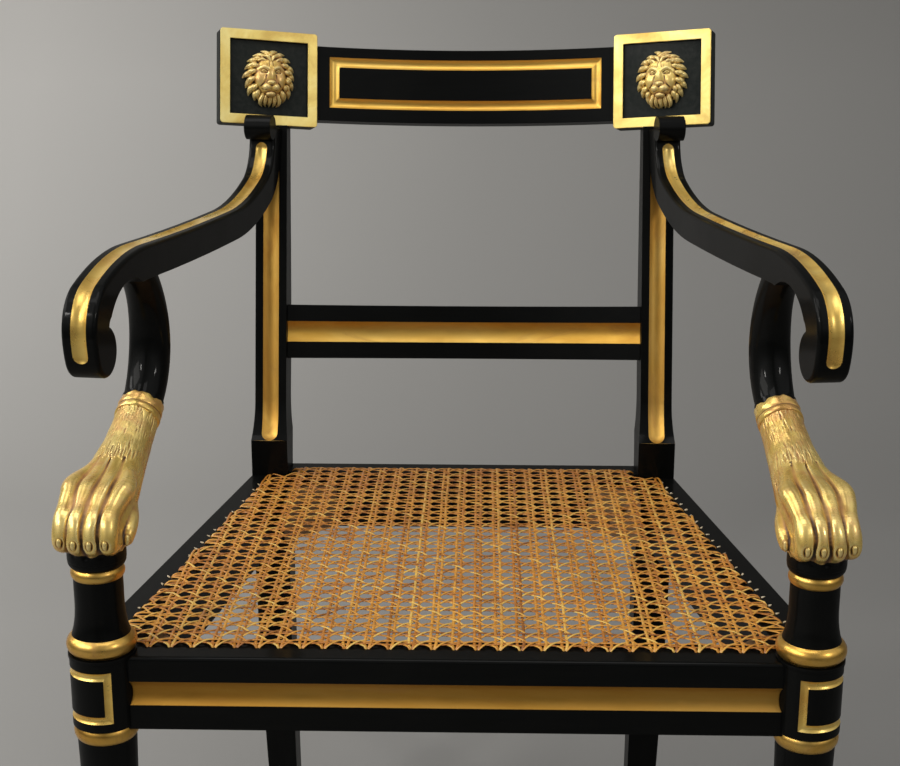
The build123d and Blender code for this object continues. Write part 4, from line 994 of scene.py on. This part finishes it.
# One flat strand along a path, with closed ends
def strand(path, width, tone):
    path = np.asarray(path)
    count = len(path)
    along = unit(np.gradient(path, axis=0))
    across = unit(np.cross(along, up))
    above = np.cross(across, along)
    section = ((-0.5, -0.15), (-0.36, 0.28), (0.0, 0.5), (0.36, 0.28), (0.5, -0.15), (0.0, -0.4))
    start = len(strand_points)
    for k in range(count):
        for u, v in section:
            p = path[k] + across[k] * (u * width) + above[k] * (v * strand_thick)
            strand_points.append((p[0], p[1] + leg_y, p[2]))
            strand_tone.append(tone)
            # Darker towards the back of the seat
            strand_rear_darkening.append(float(np.clip((p[1] - 150) / 330, 0, 1)))
    m = len(section)
    for k in range(count - 1):
        for j in range(m):
            a = start + k * m + j
            b = start + k * m + (j + 1) % m
            strand_faces.append((a, a + m, b + m, b))
    strand_faces.append(tuple(start + j for j in range(m)))
    strand_faces.append(tuple(start + count * m - 1 - j for j in range(m)))


def limit_y(x):
    if abs(x) <= back_half:
        return last_y
    return min(back_line, (edge_x - abs(x)) / edge_slope)


def tone_pick():
    return float(np.clip(rng.normal(0.55, 0.24), 0, 1))


def run_along(path):
    return np.concatenate([[0], np.cumsum(np.linalg.norm(np.diff(path[:, :2], axis=0), axis=1))])


# Both ends dip into their holes
def settle(path):
    path = np.array(path)
    for part in (path, path[::-1]):
        drop = np.clip(1 - run_along(part) / 5.0, 0, 1) ** 2
        part[:, 2] = part[:, 2] * (1 - drop) + (seat_z - 1.0) * drop
    return path


# One end is drawn over to its hole
def pull(path, at_end, target):
    part = path[::-1] if at_end else path
    weight = np.clip(1 - run_along(part) / 16.0, 0, 1)
    shift = np.array(target) - part[0, :2]
    part[:, :2] += weight[:, None] * shift


def side_hole(x, y):
    best = min(side_holes, key=lambda h: abs(h - y))
    return (side_x(best) * (1 if x > 0 else -1), best)


# Strands from front to back
for j in range(-columns_x, columns_x + 1):
    x0 = j * pitch_x
    stop = limit_y(x0)
    for pair in (-1, 1):
        n = int((stop - first_y) / strand_step)
        y = np.linspace(first_y, stop, n)
        v = (y - first_y) / pitch_y
        wobble = 0.25 * np.sin(v * 0.9 + j * 1.7 + pair) + rng.normal(0, 0.12)
        spread = np.clip((y - first_y) / 6.0, 0, 1) * np.clip((stop - y) / 6.0, 0, 1)
        x = x0 + pair * long_gap * (0.3 + 0.65 * spread) + wobble * spread
        z = weave_z + pair_wave * pair * np.cos(pi * (v - 0.5))
        path = np.stack([x, y, z], 1)
        if abs(x0) > back_half and stop < back_line - 1:
            pull(path, True, side_hole(x0, stop))
        strand(settle(path), long_width, tone_pick())

# Strands from side to side
for i in range(rows_y):
    y0 = first_y + (i + 0.5) * pitch_y
    half = side_x(y0) if y0 < back_line else back_half
    for pair in (-1, 1):
        n = int(2 * half / strand_step)
        x = np.linspace(-half, half, n)
        u = x / pitch_x
        spread = np.clip((half - np.abs(x)) / 6.0, 0, 1)
        wobble = 0.22 * np.sin(u * 0.8 + i) + rng.normal(0, 0.12)
        y = y0 + pair * cross_gap * (0.35 + 0.65 * spread) + wobble * spread
        z = weave_z - pair_wave * pair * np.cos(pi * u)
        strand(settle(np.stack([x, y, z], 1)), cross_width, tone_pick() * 0.85)

# Slanting strands: over one pair and under the next
for slant in (1, -1):
    for j in range(-44, 45):
        x0 = j * pitch_x
        t = np.linspace(0, rows_y, rows_y * 8 + 1)
        x = x0 + slant * t * pitch_x
        y = first_y + t * pitch_y
        edge = np.where(y < back_line, side_x(y), back_half)
        inside = np.abs(x) <= edge + (0.01 if abs(j) <= columns_x else 0.0)
        spots = np.where(inside)[0]
        if len(spots) < 10:
            continue
        a, b = spots[0], spots[-1] + 1
        z = weave_z - slant * slant_wave * np.cos(2 * pi * t[a:b])
        path = np.stack([x[a:b], y[a:b], z], 1)
        path[:, 0] += rng.normal(0, 0.3) + 0.25 * np.sin(t[a:b] * 0.7 + j)
        for at_end in (False, True):
            tip = path[-1] if at_end else path[0]
            near_hole = round(tip[0] / pitch_x) * pitch_x
            if tip[1] < first_y + 2:
                pull(path, at_end, (near_hole, first_y))
            elif tip[1] > last_y - 3:
                pull(path, at_end, (near_hole, last_y))
            elif abs(tip[0]) >= back_half + 1 or tip[1] <= back_line - 3:
                pull(path, at_end, side_hole(tip[0], tip[1]))
        strand(settle(path), slant_width, min(1.0, tone_pick() + 0.15))

cane = new_piece("woven_cane_seat", np.array(strand_points), strand_faces, [CANE],
                 attributes={"tone": strand_tone, "rear_darkening": strand_rear_darkening})
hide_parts("cane_seat")

# Pale ends of cut cane at the side holes
fray_points = []
fray_faces = []
for sign in (1, -1):
    for y in side_holes[:-1]:
        if sign < 0 and rng.random() < 0.55:
            continue
        for piece in range(2):
            base = np.array([sign * (side_x(y) + 0.4), y + rng.uniform(-0.8, 0.8) + leg_y, seat_z + 0.1])
            lead = np.array([sign * rng.uniform(1.4, 3.0), rng.uniform(-1.2, 1.2), rng.uniform(0.4, 1.6)])
            wide = np.array([0, 0.55, 0.1])
            thick = np.array([0, 0, 0.45])
            start = len(fray_points)
            for g, w in ((0, 1.0), (0.5, 0.9), (1.0, 0.45)):
                for a, b in ((-1, -1), (1, -1), (1, 1), (-1, 1)):
                    fray_points.append(base + lead * g + wide * a * w + thick * b * w)
            fray_faces += [tuple(start + v for v in face) for face in grid_faces(3, 4, closed=True)]
            fray_faces.append(tuple(start + 8 + m for m in range(4)))
fray = new_piece("cane_cut_ends", np.array(fray_points), fray_faces, [FRAY])

# Floor and backdrop: one pale sweep, its colour mottled, with painted light making it lighter on the left and
# painted shade making it darker near the floor
floor_end, wall_y, wall_top = 1.3, 2.2, 5.0
sweep_radius = wall_y - floor_end
columns = np.linspace(-6, 6, 25)
profile = [(-4.0, 0.0), (floor_end, 0.0)]
for k in range(1, 17):
    a = pi / 2 * k / 16
    profile.append((floor_end + sweep_radius * sin(a), sweep_radius * (1 - cos(a))))
profile.append((wall_y, wall_top))
sweep_points = [(x, y, z) for y, z in profile for x in columns]
sweep_mesh = bpy.data.meshes.new("studio_floor")
sweep_mesh.from_pydata(sweep_points, [], grid_faces(len(profile), len(columns)))
sweep_mesh.polygons.foreach_set("use_smooth", np.full(len(sweep_mesh.polygons), True))
floor = put_in("studio_floor", sweep_mesh)
paper = Mat("studio_paper")
mottle_and_painted_light = paper.noise(0.8, 3.0, 0.5)
place = paper.add("ShaderNodeSeparateXYZ", Vector=paper.coords)
# Painted light: the paper is lighter to the left and darker to the right
across = paper.math("MULTIPLY", place.outputs["X"], 0.25)
mottle_and_painted_light = paper.math("SUBTRACT", paper.math("ADD", paper.math("MULTIPLY", mottle_and_painted_light, 0.1), 0.45), across)
grey = paper.ramp(mottle_and_painted_light, [
    (0.25, (0.262, 0.258, 0.250)),
    (0.5, (0.33, 0.325, 0.315)),
    (0.75, (0.47, 0.463, 0.449)),
])
# Painted shade: darker towards the floor
low = paper.grey(place.outputs["Z"], [(0.0, 0.3), (0.7, 0.0)])
paper.set(Base_Color=paper.mix(low, grey, (0.08, 0.079, 0.077)), Roughness=0.85)
sweep_mesh.materials.append(paper.mat)


# Lights
def area_light(name, place, target, size, power, colour):
    lamp = bpy.data.lights.new(name, "AREA")
    lamp.shape = "RECTANGLE"
    lamp.size, lamp.size_y = size
    lamp.energy = power
    lamp.color = colour
    obj = put_in(name, lamp)
    obj.location = place
    obj.rotation_euler = (Vector(target) - Vector(place)).to_track_quat("-Z", "Y").to_euler()


area_light("key_left", (-2.5, -1.0, 2.5), (0, 0, 0.6), (1.7, 1.7), 30.0, (1.0, 0.97, 0.92))
area_light("overhead", (-0.2, -0.5, 2.9), (0, 0.1, 0.5), (1.8, 1.2), 16.0, (1.0, 0.98, 0.95))
area_light("lamp_left", (-1.5, -1.8, 2.1), (0, 0, 0.6), (0.18, 0.36), 9.0, (1.0, 0.97, 0.92))
area_light("lamp_right", (1.8, -1.5, 1.9), (0, 0, 0.6), (0.18, 0.36), 7.0, (1.0, 0.97, 0.92))
area_light("backdrop_left", (-2.2, 0.5, 1.9), (-1.1, 2.2, 0.9), (1.0, 1.2), 24.0, (1.0, 0.97, 0.94))

# Soft surround: dark below and straight ahead, brighter above and to the left
world = bpy.data.worlds.new("studio")
world.use_nodes = True
sky = Nodes(world.node_tree)
coords = sky.add("ShaderNodeTexCoord").outputs["Generated"]
direction = sky.add("ShaderNodeSeparateXYZ", Vector=coords)
height = sky.spread(direction.outputs["Z"], (-1.0, 1.0), (0.0, 1.0))
level = sky.ramp(height, [
    (0.0, (0.03, 0.03, 0.03)),
    (0.5, (0.05, 0.05, 0.049)),
    (0.58, (0.2, 0.2, 0.196)),
    (0.67, (0.62, 0.62, 0.6076)),
    (0.85, (0.72, 0.72, 0.7056)),
    (1.0, (0.75, 0.75, 0.74)),
])
side_fall = sky.spread(direction.outputs["X"], (-1.0, 1.0), (1.05, 0.8))
aside = sky.math("ABSOLUTE", direction.outputs["X"])
middle_dim = sky.spread(aside, (0.1, 0.5), (0.34, 1.0))
background = world.node_tree.nodes["Background"]
sky.put(background.inputs["Color"], level)
sky.put(background.inputs["Strength"], sky.math("MULTIPLY", side_fall, middle_dim))
bpy.context.scene.world = world
bpy.context.scene.view_settings.view_transform = "Standard"

# Camera, set from the fit of the photograph
lens = bpy.data.cameras.new("photo_camera")
lens.sensor_fit = "HORIZONTAL"
lens.sensor_width = 36.0
lens.lens = 60.0
camera = put_in("photo_camera", lens)
yaw, pitch, roll = 0.0209, 0.2531, 0.0015
forward = Vector((-sin(yaw) * cos(pitch), cos(yaw) * cos(pitch), -sin(pitch)))
right = Vector((cos(yaw), sin(yaw), 0))
upward = right.cross(forward)
right_axis = right * cos(roll) + upward * sin(roll)
up_axis = upward * cos(roll) - right * sin(roll)
turn = Matrix((right_axis, up_axis, -forward)).transposed().to_4x4()
camera.matrix_world = Matrix.Translation((0.01672, leg_y * MM - 0.97768, 0.89054)) @ turn
lens.clip_start = 0.05
bpy.context.scene.camera = camera
